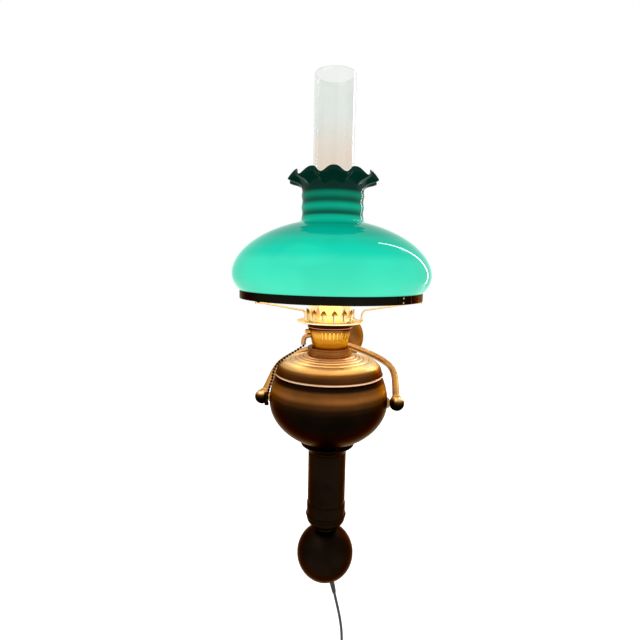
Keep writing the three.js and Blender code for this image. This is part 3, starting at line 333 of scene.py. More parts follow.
def softened(outline, radius, steps=3):
    """The closed outline with round corners, and a point on each side to hold them tight."""
    rounded = []
    for i, corner in enumerate(outline):
        to_before = outline[i - 1] - corner
        to_after = outline[(i + 1) % len(outline)] - corner
        turn = math.pi - to_before.angle(to_after)
        if turn < math.radians(15) or corner.x < ON_AXIS:
            rounded.append(corner)
            continue
        reach = min(radius * math.tan(turn / 2), 0.3 * min(to_before.length, to_after.length))
        start = corner + to_before.normalized() * reach
        end = corner + to_after.normalized() * reach
        rounded.append(start + (start - corner) * 0.6)
        rounded += bend(start, corner, end, steps)
        rounded.append(end + (end - corner) * 0.6)
    return rounded


def smooth_route(points, spacing):
    """Evenly spaced points on a smooth curve through the given ones."""
    ends = [2 * points[0] - points[1], *points, 2 * points[-1] - points[-2]]
    dense = []
    for before, start, end, after in zip(ends, ends[1:], ends[2:], ends[3:]):
        knots = [0]
        for a, b in ((before, start), (start, end), (end, after)):
            knots.append(knots[-1] + math.sqrt((b - a).length))
        fine = max(int((end - start).length / spacing * 8), 8)
        for step in range(fine):
            t = knots[1] + (knots[2] - knots[1]) * step / fine
            dense.append(curve_point((before, start, end, after), knots, t))
    dense.append(points[-1].copy())
    return evenly(dense, spacing)


def curve_point(corners, knots, t):
    """A point between the middle two of four corners, on the centripetal curve through them."""
    level = list(corners)
    for spans in (zip(knots, knots[1:]), zip(knots, knots[2:]), [knots[1:3]]):
        pairs = zip(level, level[1:], spans)
        level = [a.lerp(b, (t - low) / (high - low)) for a, b, (low, high) in pairs]
    return level[0]


def evenly(points, spacing):
    """Points at an even spacing along a line of many points."""
    total = route_length(points)
    count = max(round(total / spacing), 1)
    even = [points[0].copy()]
    walked = 0
    for a, b in zip(points, points[1:]):
        stretch = (b - a).length
        while len(even) < count and walked + stretch >= total * len(even) / count:
            even.append(a.lerp(b, (total * len(even) / count - walked) / stretch))
        walked += stretch
    even.append(points[-1].copy())
    return even


def route_length(points):
    return sum((b - a).length for a, b in zip(points, points[1:]))


# Solids


def new_form():
    form = bmesh.new()
    form.verts.layers.float.new("wear")
    return form


def add_corner(form, place, worn=0.0):
    vertex = form.verts.new(place)
    vertex[form.verts.layers.float["wear"]] = worn
    return vertex


def worn_corners(outline):
    """How sharply the outline bends out (above 0) or in (below 0) at each of its points."""
    sharp = 0.7 * MM
    worn = []
    for i, here in enumerate(outline):
        before = here - outline[i - 1]
        after = outline[(i + 1) % len(outline)] - here
        turn = -before.angle_signed(after, 0)
        worn.append(max(-1, min(1, turn / (before.length + after.length) * 2 * sharp)))
    return worn


def counterclockwise(outline):
    """The outline counterclockwise, without points that lie on the one before."""
    apart = [p for i, p in enumerate(outline) if (p - outline[i - 1]).length > 2e-6]
    area = sum(a.x * b.y - b.x * a.y for a, b in zip(apart, apart[1:] + apart[:1]))
    return apart if area > 0 else apart[::-1]


def join_rings(form, rings, closed=True):
    """Faces from each ring of corners to the next. A ring may be a single corner."""
    following = rings[1:] + rings[:1] if closed else rings[1:]
    for lower, upper in zip(rings, following):
        sides = max(len(lower), len(upper))
        for side in range(sides):
            beside = (side + 1) % sides
            corners = [lower[side % len(lower)], lower[beside % len(lower)]]
            corners += [upper[beside % len(upper)], upper[side % len(upper)]]
            corners = list(dict.fromkeys(corners))
            if len(corners) > 2:
                form.faces.new(corners)


def cap_ends(form, rings):
    form.faces.new(rings[0][::-1])
    form.faces.new(rings[-1])


def outward(angle):
    """The level way out from the axis, at an angle from the front."""
    return Vector((math.sin(angle), -math.cos(angle), 0))


def spin(form, outline, steps, place=LAMP):
    """Turns a closed outline round the upright axis, then puts it in its place."""
    outline = counterclockwise(outline)
    rings = []
    for corner, worn in zip(outline, worn_corners(outline)):
        ring = []
        for step in range(steps if corner.x > ON_AXIS else 1):
            across = outward(FULL_TURN * step / steps) * corner.x
            ring.append(add_corner(form, place @ (across + UP * corner.y), worn))
        rings.append(ring)
    join_rings(form, rings)


def round_section(radius, sides=16):
    turns = [FULL_TURN * side / sides for side in range(sides)]
    return [point(radius * math.cos(t), radius * math.sin(t)) for t in turns]


def flat_section(half_width, half_sheet, power=5, sides=20):
    """A flat strip's section with soft edges."""
    corners = []
    for side in range(sides):
        angle = FULL_TURN * side / sides
        x, y = math.cos(angle), math.sin(angle)
        across = math.copysign(abs(x) ** (2 / power), x) * half_width
        corners.append(point(across, math.copysign(abs(y) ** (2 / power), y) * half_sheet))
    return corners


def sweep(form, route, section, sideways=UP, closed=False):
    """A solid along a route, whose sections' first axis stays square to the sideways one.

    The section is a list of points, or a function of the share of the way along.
    """
    rings = []
    count = len(route)
    for i, centre in enumerate(route):
        before = route[i - 1] if closed or i > 0 else centre
        after = route[(i + 1) % count] if closed or i < count - 1 else centre
        along = (after - before).normalized()
        across = sideways.cross(along).normalized()
        over = along.cross(across)
        corners = section(i / (count - 1)) if callable(section) else section
        rings.append([add_corner(form, centre + across * p.x + over * p.y) for p in corners])
    if not closed:
        cap_ends(form, rings)
    join_rings(form, rings, closed)


def hexagon(form, radius, bore, low, high):
    """A nut round the wall's spindle, with chamfered corners and a round bore."""
    sides = 48
    sixth = math.pi / 3
    chamfer = 0.14 * radius
    narrow = 0.93 * radius
    levels = [(low, narrow), (low + chamfer, radius), (high - chamfer, radius), (high, narrow)]
    rings = []
    for height, reach in [*levels, (high, bore), (low, bore)]:
        ring = []
        for side in range(sides):
            angle = FULL_TURN * side / sides
            flat = radius * math.cos(sixth / 2) / math.cos(angle % sixth - sixth / 2)
            across = Vector((math.cos(angle), math.sin(angle), 0)) * min(flat, reach)
            ring.append(add_corner(form, FROM_WALL @ (across + UP * height)))
        rings.append(ring)
    join_rings(form, rings)


def new_object(name, data):
    made = bpy.data.objects.new(name, data)
    bpy.context.scene.collection.objects.link(made)
    return made


def add_piece(name, form, body, finish, *nodes, bevel=0.0):
    """Makes the form a piece that rides on a body and stands for the CAD nodes named."""
    bmesh.ops.recalc_face_normals(form, faces=form.faces)
    for face in form.faces:
        face.smooth = True
    mesh = bpy.data.meshes.new(name)
    form.to_mesh(mesh)
    form.free()
    mesh.materials.append(finish_material(finish))
    piece = new_object(name, mesh)
    if bevel:
        rounding = piece.modifiers.new("Round edges", "BEVEL")
        rounding.width = bevel
        rounding.segments = 2
        rounding.limit_method = "ANGLE"
        rounding.angle_limit = math.radians(35)
        rounding.harden_normals = True
    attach(piece, body)
    if nodes:
        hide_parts(*nodes)
    return piece


def add_turned(name, node, finish, outline, steps, soft=0.0, body="lamp", place=LAMP):
    """A turned piece for a CAD node. A soft size rounds the outline's corners."""
    form = new_form()
    spin(form, softened(outline, soft) if soft else outline, steps, place)
    add_piece(name, form, body, finish, node)


def dress(finish, *nodes):
    """Gives CAD nodes that stay as they are their finish."""
    for node in nodes:
        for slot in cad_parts[node].material_slots:
            slot.material = finish_material(finish)


# Shader groups


def set_inputs(tree, node, inputs):
    """Sets a shader node's inputs. A value may be another node's output, which is linked."""
    for key, value in dict(inputs).items():
        if isinstance(value, bpy.types.NodeSocket):
            tree.links.new(value, node.inputs[key])
        else:
            node.inputs[key].default_value = value


def add_node(tree, kind, inputs=(), **settings):
    node = tree.nodes.new(kind)
    for name, value in settings.items():
        setattr(node, name, value)
    set_inputs(tree, node, inputs)
    return node


def ranged(tree, value, low, high, to_low=0.0, to_high=1.0):
    inputs = {"Value": value, "From Min": low, "From Max": high, "To Min": to_low, "To Max": to_high}
    node = add_node(tree, "ShaderNodeMapRange", inputs, interpolation_type="SMOOTHSTEP")
    return node.outputs["Result"]


def mixed(tree, share, first, second):
    inputs = {"Factor": share, 6: first, 7: second}
    return add_node(tree, "ShaderNodeMix", inputs, data_type="RGBA").outputs[2]


def maths(tree, operation, first, second=0.0, clamp=False):
    inputs = {0: first, 1: second}
    node = add_node(tree, "ShaderNodeMath", inputs, operation=operation, use_clamp=clamp)
    return node.outputs[0]


def times(tree, first, second, clamp=False):
    return maths(tree, "MULTIPLY", first, second, clamp)


def plus(tree, first, second, clamp=False):
    return maths(tree, "ADD", first, second, clamp)


def noise(tree, vector, scale, detail=3.0):
    inputs = {"Vector": vector, "Scale": scale, "Detail": detail}
    return add_node(tree, "ShaderNodeTexNoise", inputs).outputs["Fac"]


def object_place(tree):
    return add_node(tree, "ShaderNodeTexCoord").outputs["Object"]


def shader_group(name, inputs, outputs, fill):
    """A node group with named inputs and their defaults, made the first time it is asked for."""
    group = bpy.data.node_groups.get(name)
    if group:
        return group
    group = bpy.data.node_groups.new(name, "ShaderNodeTree")
    for socket, default in inputs.items():
        kind = COLOUR if isinstance(default, tuple) else VALUE
        made = group.interface.new_socket(name=socket, in_out="INPUT", socket_type=kind)
        made.default_value = default
    for socket in outputs:
        kind = COLOUR if socket == "Colour" else VALUE
        group.interface.new_socket(name=socket, in_out="OUTPUT", socket_type=kind)
    entry = group.nodes.new("NodeGroupInput")
    ending = group.nodes.new("NodeGroupOutput")
    for socket, value in fill(group, entry.outputs).items():
        group.links.new(value, ending.inputs[socket])
    return group


COLOUR = "NodeSocketColor"
VALUE = "NodeSocketFloat"


def patina_group():
    """Tarnish in blotches and hollows, and bright metal on the edges."""

    def fill(group, given):
        place = object_place(group)
        blotches = ranged(group, noise(group, place, given["Blotch Scale"], 5.0), 0.42, 0.66)
        specks = ranged(group, noise(group, place, 900.0, 2.0), 0.58, 0.72)
        wear = add_node(group, "ShaderNodeAttribute", attribute_name="wear").outputs["Fac"]
        hollow = times(group, wear, -1.0, clamp=True)
        edge = times(group, wear, 1.0, clamp=True)
        spread = times(group, blotches, given["Tarnish"])
        dotted = times(group, specks, times(group, given["Tarnish"], 0.35))
        dark = plus(group, plus(group, spread, dotted), hollow, clamp=True)
        shown = mixed(group, dark, given["Metal"], given["Dark"])
        fine = noise(group, place, 320.0, 3.0)
        rough = ranged(group, dark, 0.0, 1.0, given["Roughness"], given["Dull Roughness"])
        uneven = times(group, maths(group, "SUBTRACT", fine, 0.5), 0.16)
        return {
            "Colour": mixed(group, times(group, edge, given["Rubbed"]), shown, given["Bright"]),
            "Roughness": plus(group, rough, uneven, clamp=True),
            "Height": plus(group, times(group, fine, 0.5), blotches),
        }

    inputs = {
        "Metal": (0.5, 0.4, 0.2, 1),
        "Bright": (0.8, 0.6, 0.3, 1),
        "Dark": (0.1, 0.06, 0.03, 1),
        "Tarnish": 0.5,
        "Rubbed": 0.6,
        "Blotch Scale": 28.0,
        "Roughness": 0.3,
        "Dull Roughness": 0.5,
    }
    return shader_group("Brass patina", inputs, ("Colour", "Roughness", "Height"), fill)


def turning_group():
    """Fine rings round the lamp's axis, as a lathe leaves them."""

    def fill(group, given):
        parts = add_node(group, "ShaderNodeSeparateXYZ", {0: object_place(group)}).outputs
        out = maths(group, "SUBTRACT", parts["Y"], LAMP.translation.y)
        squares = plus(group, times(group, parts["X"], parts["X"]), times(group, out, out))
        radius = maths(group, "SQRT", squares)
        ring = add_node(group, "ShaderNodeCombineXYZ", {"X": radius, "Z": parts["Z"]}).outputs[0]
        return {"Height": noise(group, ring, given["Ring Scale"], 2.0)}

    return shader_group("Turning marks", {"Ring Scale": 1400.0}, ("Height",), fill)


def film_group():
    """Dust and finger marks on glass."""

    def fill(group, given):
        place = object_place(group)
        smears = ranged(group, noise(group, place, given["Smear Scale"], 4.0), 0.45, 0.75)
        dust = ranged(group, noise(group, place, 1500.0, 2.0), 0.6, 0.75)
        share = plus(group, smears, times(group, dust, 0.4), clamp=True)
        return {
            "Colour": mixed(group, share, given["Clean"], given["Filmed"]),
            "Roughness": times(group, share, given["Film Roughness"]),
        }

    inputs = {
        "Clean": (0.95, 0.97, 0.97, 1),
        "Filmed": (0.85, 0.85, 0.83, 1),
        "Smear Scale": 22.0,
        "Film Roughness": 0.12,
    }
    return shader_group("Glass film", inputs, ("Colour", "Roughness"), fill)


def moulding_group():
    """The fine grain and scuffs of moulded rubber, plastic or cast iron."""

    def fill(group, given):
        place = object_place(group)
        grain = noise(group, place, given["Grain Scale"], 3.0)
        scuffs = ranged(group, noise(group, place, 60.0, 5.0), 0.5, 0.75)
        share = times(group, scuffs, given["Scuffs"])
        return {
            "Colour": mixed(group, share, given["Body"], given["Scuffed"]),
            "Roughness": plus(group, times(group, grain, 0.2), given["Roughness"], clamp=True),
            "Height": grain,
        }

    inputs = {
        "Body": (0.02, 0.02, 0.02, 1),
        "Scuffed": (0.08, 0.07, 0.06, 1),
        "Scuffs": 0.5,
        "Grain Scale": 1200.0,
        "Roughness": 0.45,
    }
    return shader_group("Moulded grain", inputs, ("Colour", "Roughness", "Height"), fill)


# Materials


def toned(rgb, factor):
    return tuple(min(1.0, c * factor) for c in rgb) + (1.0,)


def height_bands(tree, rgb, node, bands):
    """A colour that changes up a CAD node, from bands of height share and tone.

    A tone is a screen colour's code, or a factor for the colour given.
    """
    low, high = BOXES[node]
    parts = add_node(tree, "ShaderNodeSeparateXYZ", {0: object_place(tree)}).outputs
    inputs = {"Value": parts["Z"], "From Min": low.z, "From Max": high.z}
    share = add_node(tree, "ShaderNodeMapRange", inputs).outputs["Result"]
    ramp = add_node(tree, "ShaderNodeValToRGB", {"Fac": share})
    stops = ramp.color_ramp.elements
    ramp.color_ramp.interpolation = "EASE"
    while len(stops) < len(bands):
        stops.new(1.0)
    for stop, (at, tone) in zip(stops, bands):
        stop.position = at
        stop.color = (*linear(tone), 1.0) if isinstance(tone, str) else toned(rgb, tone)
    return ramp.outputs["Color"]


def new_material(name):
    material = bpy.data.materials.new(name)
    material.use_nodes = True
    tree = material.node_tree
    return material, tree, tree.nodes["Principled BSDF"]


def placed_group(tree, group, inputs):
    return add_node(tree, "ShaderNodeGroup", inputs, node_tree=group).outputs


def coat(tree, shader, group, inputs):
    """Gives the shader a group's colour and roughness."""
    made = placed_group(tree, group, inputs)
    set_inputs(tree, shader, {"Base Color": made["Colour"], "Roughness": made["Roughness"]})
    return made


def film(tree, shader, clean, filmed, roughness):
    inputs = {"Clean": clean, "Filmed": filmed, "Film Roughness": roughness}
    return coat(tree, shader, film_group(), inputs)


def add_bump(tree, shader, height, strength, depth):
    inputs = {"Height": height, "Strength": strength, "Distance": depth}
    bump = add_node(tree, "ShaderNodeBump", inputs)
    set_inputs(tree, shader, {"Normal": bump.outputs["Normal"]})


def glow(tree, shader, tint, strength):
    set_inputs(tree, shader, {"Emission Color": tint, "Emission Strength": strength})


def mix_output(tree, share, shader, other):
    """Shows the other shader by the share given, in the place of the first."""
    inputs = {0: share, 1: shader.outputs[0], 2: other.outputs[0]}
    mix = add_node(tree, "ShaderNodeMixShader", inputs)
    set_inputs(tree, tree.nodes["Material Output"], {"Surface": mix.outputs[0]})


WHITE = (1, 1, 1, 1)

# How much light a metal keeps at a grazing angle.
PLAIN_EDGE = (0.5, 0.42, 0.34, 1)
SHINY_EDGE = (0.6, 0.48, 0.38, 1)

# A CAD node and the tones up it: pairs of a share of its height and a screen colour's code,
# or a factor for the finish's own colour. The metals' tones paint their light and shade.
# The bowl: darker towards the bottom and under the ridge as painted shade, with a painted highlight
# band between.
BOWL_LIGHT_AND_SHADE = (
    "fount_bowl",
    [
        (0.0, "070403"), (0.5, "0a0603"), (0.62, "100904"), (0.69, "201207"), (0.76, "4a2b12"),
        (0.83, 1), (0.9, 0.6), (0.95, "1e1006"), (1.0, "0a0502"),
    ],
)
# The fount's top: painted highlights on the ridge bead and the shoulder, a plate painted as lit from
# the shade above, and painted shade below them.
TOP_LIGHT_AND_SHADE = (
    "fount_top",
    [
        (0.0, "2a1508"), (0.19, "8a5a38"), (0.24, "f0c29c"), (0.29, "40220d"), (0.45, "4c2a10"),
        (0.56, "6e421a"), (0.68, "d8ac6c"), (0.78, "ffe4b4"), (0.86, "ffdcac"), (0.91, "f0c8a0"),
        (1.0, "eec49c"),
    ],
)
# The ball ends: dark below and golden on top, painted reflection of dark surroundings and painted light
# from above.
BALL_END_LIGHT_AND_SHADE = (
    "pivot_ball_left",
    [
        (0.0, "030201"), (0.45, "080401"), (0.55, "1c1003"), (0.65, "3c2409"), (0.72, "6e4a1e"),
        (0.8, "c39a62"), (0.88, "f0c890"), (1.0, 1),
    ],
)
# The burner's cone: lighter below its top and darker under the flange, painted light and shade.
BASKET_LIGHT_AND_SHADE = (
    "burner_basket",
    [(0.0, "944f06"), (0.35, "a8640a"), (0.62, "c48420"), (0.8, 1), (1.0, "8a4a20")],
)
# The gallery and its crown: a shaded underside, a flange top and stems painted as lit, and arrowheads
# in painted shade.
GALLERY_LIGHT_AND_SHADE = (
    "burner_gallery",
    [
        (0.0, "5e2a14"), (0.07, "6e321a"), (0.1, "d08a6a"), (0.13, "6e321a"), (0.33, "7a4420"),
        (0.37, "ffeccc"), (0.72, "ffecb0"), (0.8, 1), (0.86, "8c5614"), (1.0, "7c4a10"),
    ],
)
# The same for the lit shade, where the factor is for its glow.
GLOW_BANDS = [
    (0.0, "3cecc0"), (0.06, 1), (0.28, "3ceac2"), (0.36, "0cdeba"), (0.44, "00cfac"),
    (0.5, "00b498"), (0.575, "009c80"), (0.61, "00b896"), (0.635, "00b090"), (0.665, "004c3a"),
    (0.72, "00a684"), (0.765, "004838"), (0.81, "007c60"), (0.85, "001c16"), (0.9, "00100c"),
    (1.0, "000a08"),
]


def scaled(tree, tint, share):
    inputs = {0: tint, "Scale": share}
    return add_node(tree, "ShaderNodeVectorMath", inputs, operation="SCALE").outputs[0]


def brass(name, rgb, tarnish, roughness, bands=None, turning=False, edge=PLAIN_EDGE):
    """Brass or steel with its patina. Bands give a CAD node and the colours up it, which paint its
    light and shade.
    """
    material, tree, shader = new_material(name)
    metal, bright, dark = (*rgb, 1.0), toned(rgb, 1.5), toned(rgb, 0.32)
    if bands:
        metal = height_bands(tree, rgb, *bands)
        bright, dark = scaled(tree, metal, 1.3), scaled(tree, metal, 0.32)
    patina = {
        "Metal": metal,
        "Bright": bright,
        "Dark": dark,
        "Tarnish": tarnish,
        "Roughness": roughness,
        "Dull Roughness": roughness + 0.2,
    }
    height = coat(tree, shader, patina_group(), patina)["Height"]
    set_inputs(tree, shader, {"Metallic": 1.0, "Specular Tint": edge})
    if turning:
        rings = placed_group(tree, turning_group(), {})
        height = plus(tree, height, times(tree, rings["Height"], 1.6))
    add_bump(tree, shader, height, 0.25, 0.06 * MM)
    return material


def moulded(name, rgb, grain, roughness, scuffs, metallic=0.0):
    material, tree, shader = new_material(name)
    inputs = {
        "Body": (*rgb, 1.0),
        "Scuffed": toned(rgb, 2.2),
        "Scuffs": scuffs,
        "Grain Scale": grain,
        "Roughness": roughness,
    }
    made = coat(tree, shader, moulding_group(), inputs)
    set_inputs(tree, shader, {"Metallic": metallic})
    add_bump(tree, shader, made["Height"], 0.3, 0.1 * MM)
    return material


def lit_brass(name, rgb, tarnish, roughness):
    """Brass with the bulb's light inside the burner on it."""
    material = brass(name, rgb, tarnish, roughness)
    tree = material.node_tree
    glow(tree, tree.nodes["Principled BSDF"], (*linear("ffd45e"), 1.0), 0.9)
    return material


def green_glass(name, rgb, roughness):
    """Cased glass, lit from inside: the glow fades up the dome and shows between the rings."""
    material, tree, shader = new_material(name)
    lit = height_bands(tree, bpy.context.scene.lamp_colours.shade_glow, "shade", GLOW_BANDS)
    cloud = ranged(tree, noise(tree, object_place(tree), 14.0, 2.0), 0.3, 0.75, 0.93, 1.04)
    facing = add_node(tree, "ShaderNodeLayerWeight", {"Blend": 0.35}).outputs["Facing"]
    cloud = times(tree, cloud, ranged(tree, facing, 0.2, 1.0, 1.0, 0.6))
    glow(tree, shader, scaled(tree, lit, cloud), 0.95)
    film(tree, shader, (*rgb, 1.0), toned(rgb, 1.25), roughness)
    set_inputs(tree, shader, {"Specular IOR Level": 0.045})
    return material


def lit_glass(name, rgb, roughness, filmed, strength):
    """White or yellow glass that the bulb's light fills."""
    material, tree, shader = new_material(name)
    made = film(tree, shader, (*rgb, 1.0), toned(rgb, filmed), roughness)
    glow(tree, shader, made["Colour"], strength)
    return material


def clear_glass(name, rgb, roughness):
    """Clear glass that the studio's light passes, and that glows where it stands in the crown."""
    material, tree, shader = new_material(name)
    # The warm foot and the beige band by the shade's mouth are painted light from the bulb and the lit
    # shade, and the tint darkens towards the tube's outline as painted shade.
    warm, mouth_light_band = "f6e0b0", "f1e7dc"
    bands = [(0.0, warm), (0.08, warm), (0.16, 1), (0.5, 1), (0.64, mouth_light_band), (0.85, 1)]
    tint = height_bands(tree, rgb, "chimney", bands)
    facing = add_node(tree, "ShaderNodeLayerWeight", {"Blend": 0.3}).outputs["Facing"]
    tint = mixed(tree, ranged(tree, facing, 0.55, 0.95), tint, (0.42, 0.4, 0.37, 1.0))
    warmed = height_bands(tree, rgb, "chimney", [(0.0, warm), (0.07, warm), (0.14, "000000")])
    glow(tree, shader, warmed, 0.12)
    film(tree, shader, tint, toned(rgb, 0.93), roughness)
    set_inputs(tree, shader, {"Transmission Weight": 1.0, "IOR": 1.47})
    shadow = add_node(tree, "ShaderNodeLightPath").outputs["Is Shadow Ray"]
    passing = add_node(tree, "ShaderNodeBsdfTransparent", {"Color": (0.92, 0.95, 0.94, 1)})
    mix_output(tree, shadow, shader, passing)
    return material


FINISHES = {
    # finish: (the record's slot, its colour property, its maker, the maker's own values)
    "bowl": ("aged_brass", "aged_brass", brass, (0.35, 0.34, BOWL_LIGHT_AND_SHADE, True, SHINY_EDGE)),
    "wall": ("aged_brass", "aged_brass", brass, (0.5, 0.34)),
    "collar": ("aged_brass", "aged_brass", brass, (0.3, 0.33, None, True, SHINY_EDGE)),
    "top": ("pale_brass", "pale_brass", brass, (0.3, 0.36, TOP_LIGHT_AND_SHADE, True)),
    "yoke": ("pale_brass", "pale_brass", brass, (0.45, 0.36)),
    "ball end": ("pale_brass", "pale_brass", brass, (0.06, 0.3, BALL_END_LIGHT_AND_SHADE)),
    "gilt": ("gilt_brass", "gilt_brass", brass, (0.3, 0.3)),
    "strip": ("gilt_brass", "gilt_lit_from_above", brass, (0.25, 0.3)),
    "gallery": ("gilt_brass", "gilt_brass", brass, (0.15, 0.34, GALLERY_LIGHT_AND_SHADE)),
    "lit": ("gilt_brass", "gilt_brass", lit_brass, (0.3, 0.3)),
    "basket": ("gilt_brass", "gilt_brass", brass, (0.3, 0.3, BASKET_LIGHT_AND_SHADE, True)),
    "bronze": ("bronze", "bronze", brass, (0.45, 0.34, None, True, SHINY_EDGE)),
    "ring": ("ring_brass", "ring_brass", brass, (0.3, 0.3)),
    "steel": ("steel", "steel", brass, (0.25, 0.34)),
    "iron": ("iron", "iron", moulded, (500.0, 0.6, 0.4, 0.7)),
    "green": ("green_glass", "shade_glass", green_glass, (0.14,)),
    "opal": ("green_glass", "shade_casing", lit_glass, (0.4, 0.92, 1.0)),
    "clear": ("clear_glass", "chimney_tint", clear_glass, (0.06,)),
    "bulb": ("bulb_glass", "bulb_glow", lit_glass, (0.3, 0.9, 1.6)),
    "porcelain": ("porcelain", "porcelain", moulded, (700.0, 0.4, 0.2)),
    "rubber": ("dark_rubber", "rubber", moulded, (1500.0, 0.42, 0.5)),
    "cord": ("cord_cover", "cord", moulded, (900.0, 0.36, 0.4)),
    "blade": ("plug_brass", "plug_brass", brass, (0.2, 0.26)),
}


def finish_material(finish):
    """The finish's material, made the first time that a piece needs it."""
    name = f"{finish} finish"
    made = bpy.data.materials.get(name)
    if made:
        return made
    _, colour_name, maker, values = FINISHES[finish]
    rgb = tuple(getattr(bpy.context.scene.lamp_colours, colour_name))
    return maker(name, rgb, *values)


# The camera, the floor and the light


def add_camera(studio):
    yaw, pitch, roll = studio.camera_yaw, studio.camera_pitch, studio.camera_roll
    ahead = Vector((math.sin(yaw) * math.cos(pitch), math.cos(yaw) * math.cos(pitch), math.sin(pitch)))
    right = Vector((math.cos(yaw), -math.sin(yaw), 0))
    above = right.cross(ahead)
    leaning_right = right * math.cos(roll) + above * math.sin(roll)
    leaning_up = above * math.cos(roll) - right * math.sin(roll)
    turn = Matrix((leaning_right, leaning_up, -ahead)).transposed().to_4x4()
    camera = new_object("camera", bpy.data.cameras.new("camera"))
    camera.data.lens = studio.camera_lens
    camera.data.sensor_width = 36
    camera.data.clip_start = 0.01
    camera.matrix_world = Matrix.Translation(studio.camera_place) @ turn
    bpy.context.scene.camera = camera


def seen_directly(tree):
    """1 for rays that show the background itself, in the picture, a gloss or through glass."""
    path = add_node(tree, "ShaderNodeLightPath").outputs
    seen = maths(tree, "MAXIMUM", path["Is Camera Ray"], path["Is Glossy Ray"])
    return maths(tree, "MAXIMUM", seen, path["Is Transmission Ray"])


def add_world(studio):
    world = bpy.data.worlds.new("studio")
    world.use_nodes = True
    tree = world.node_tree
    strength = ranged(tree, seen_directly(tree), 0.0, 1.0, studio.room_light, 1.0)
    set_inputs(tree, tree.nodes["Background"], {"Color": WHITE, "Strength": strength})
    bpy.context.scene.world = world


def add_floor(studio):
    """A pale floor under the hanging lamp, white apart from its shadow, and clear from below."""
    low, high = cad_box
    half = 3.0
    form = bmesh.new()
    bmesh.ops.create_grid(form, x_segments=4, y_segments=4, size=half)
    mesh = bpy.data.meshes.new("floor")
    form.to_mesh(mesh)
    form.free()
    floor = new_object("floor", mesh)
    floor.location = ((low.x + high.x) / 2, (low.y + high.y) / 2, low.z - studio.floor_drop)
    material, tree, shader = new_material("floor")
    set_inputs(tree, shader, {"Base Color": (0.9, 0.9, 0.9, 1), "Roughness": 0.8})
    glow(tree, shader, WHITE, times(tree, seen_directly(tree), 0.75))
    below = add_node(tree, "ShaderNodeNewGeometry").outputs["Backfacing"]
    mix_output(tree, below, shader, add_node(tree, "ShaderNodeBsdfTransparent"))
    mesh.materials.append(material)


def add_area_light(name, place, power, width, height):
    light = bpy.data.lights.new(name, "AREA")
    light.shape = "RECTANGLE"
    light.energy = power
    light.size = width
    light.size_y = height
    target = (cad_box[0] + cad_box[1]) / 2
    place = Vector(place)
    aim = (target - place).to_track_quat("-Z", "Y").to_matrix().to_4x4()
    new_object(name, light).matrix_world = Matrix.Translation(place) @ aim


# The cord


# How far aside and how far below the ball's middle each point of the hanging cord lies.
DROP_ROUTE = [
    (11.4, 48.4),
    (14.2, 60),
    (17.2, 72.5),
    (20.2, 85),
    (22.9, 97.5),
    (25.1, 110),
    (26.5, 122),
    (27.1, 134),
    (27.1, 146),
    (27.1, 158),
]
HANK_LAYER_LOOPS = 3
HANK_STEP = 5 * MM
HANK_FOLD = 12.1 * MM
HANK_WAIST = 8 * MM
HANK_RUN = 71 * MM
HANK_TAIL = 16 * MM
RUN_SHARE = 1 / 3  # of each half turn, the rest being the fold


def cord_exit():
    """The ball's middle, the way the cord leaves it, and the ball's radius."""
    low, high = BOXES["ball_shell"]
    radius = (high.x - low.x) / 2
    centre = Vector((0, LAMP.translation.y, low.z + radius))
    aside = 9 * MM
    way = Vector((aside, 0, -math.sqrt(radius**2 - aside**2))).normalized()
    return centre, way, radius


def hank_top():
    """The height of the upper end of the hank's runs."""
    return middle("hank_tie").z + HANK_RUN / 2


def hank_point(turns):
    """A point of the hank, after a number of turns from its outer back loop."""
    across = HANK_FOLD + HANK_STEP * abs(turns - HANK_LAYER_LOOPS)
    half_share = (turns % 1) * 2
    side = 1 if half_share < 1 else -1
    share = half_share % 1
    climb = (turns - HANK_LAYER_LOOPS) * 2 / RUN_SHARE
    forward = LAMP.translation.y - HANK_STEP * min(max(climb, 0), 1)
    reach = HANK_RUN / 2
    centre = hank_top() - reach
    if share <= RUN_SHARE:
        along = share / RUN_SHARE
        drawn = HANK_WAIST * math.sin(math.pi * along) ** 2
        return Vector((side * (across - drawn), forward, centre + side * reach * (1 - 2 * along)))
    angle = math.pi * (share - RUN_SHARE) / (1 - RUN_SHARE)
    height = centre - side * (reach + across * math.sin(angle))
    return Vector((side * across * math.cos(angle), forward, height))


def cord_route():
    centre, way, radius = cord_exit()
    start = centre + way * radius
    drop = [start, start + way * 3.4 * MM]
    for aside, below in DROP_ROUTE:
        drop.append(Vector((aside * MM, centre.y, centre.z - below * MM)))
    outer_fold = HANK_FOLD + HANK_LAYER_LOOPS * HANK_STEP
    drop.append(Vector((outer_fold, centre.y, hank_top() + 4 * MM)))
    route = smooth_route(drop, 4 * MM)
    steps_per_turn = 72
    last = 2 * HANK_LAYER_LOOPS * steps_per_turn + round(steps_per_turn * RUN_SHARE / 2)
    for step in range(last + 1):
        route.append(hank_point(step / steps_per_turn))
    end = route[-1]
    for step in (1, 2, 3, 4):
        route.append(end + Vector((0, 0, -HANK_TAIL * step / 4)))
    return route


def add_cord(sizes):
    route = cord_route()
    curve = bpy.data.curves.new("cord", "CURVE")
    curve.dimensions = "3D"
    curve.bevel_depth = sizes.cord_diameter / 2
    curve.bevel_resolution = 3
    curve.use_fill_caps = True
    spline = curve.splines.new("POLY")
    spline.points.add(len(route) - 1)
    for corner, place in zip(spline.points, route):
        corner.co = (*place, 1)
    spline.use_smooth = True
    curve.materials.append(finish_material("cord"))
    cord = new_object("cord", curve)
    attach(cord, "lamp")
    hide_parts("cord_drop", "cord_hank")
    return cord, route


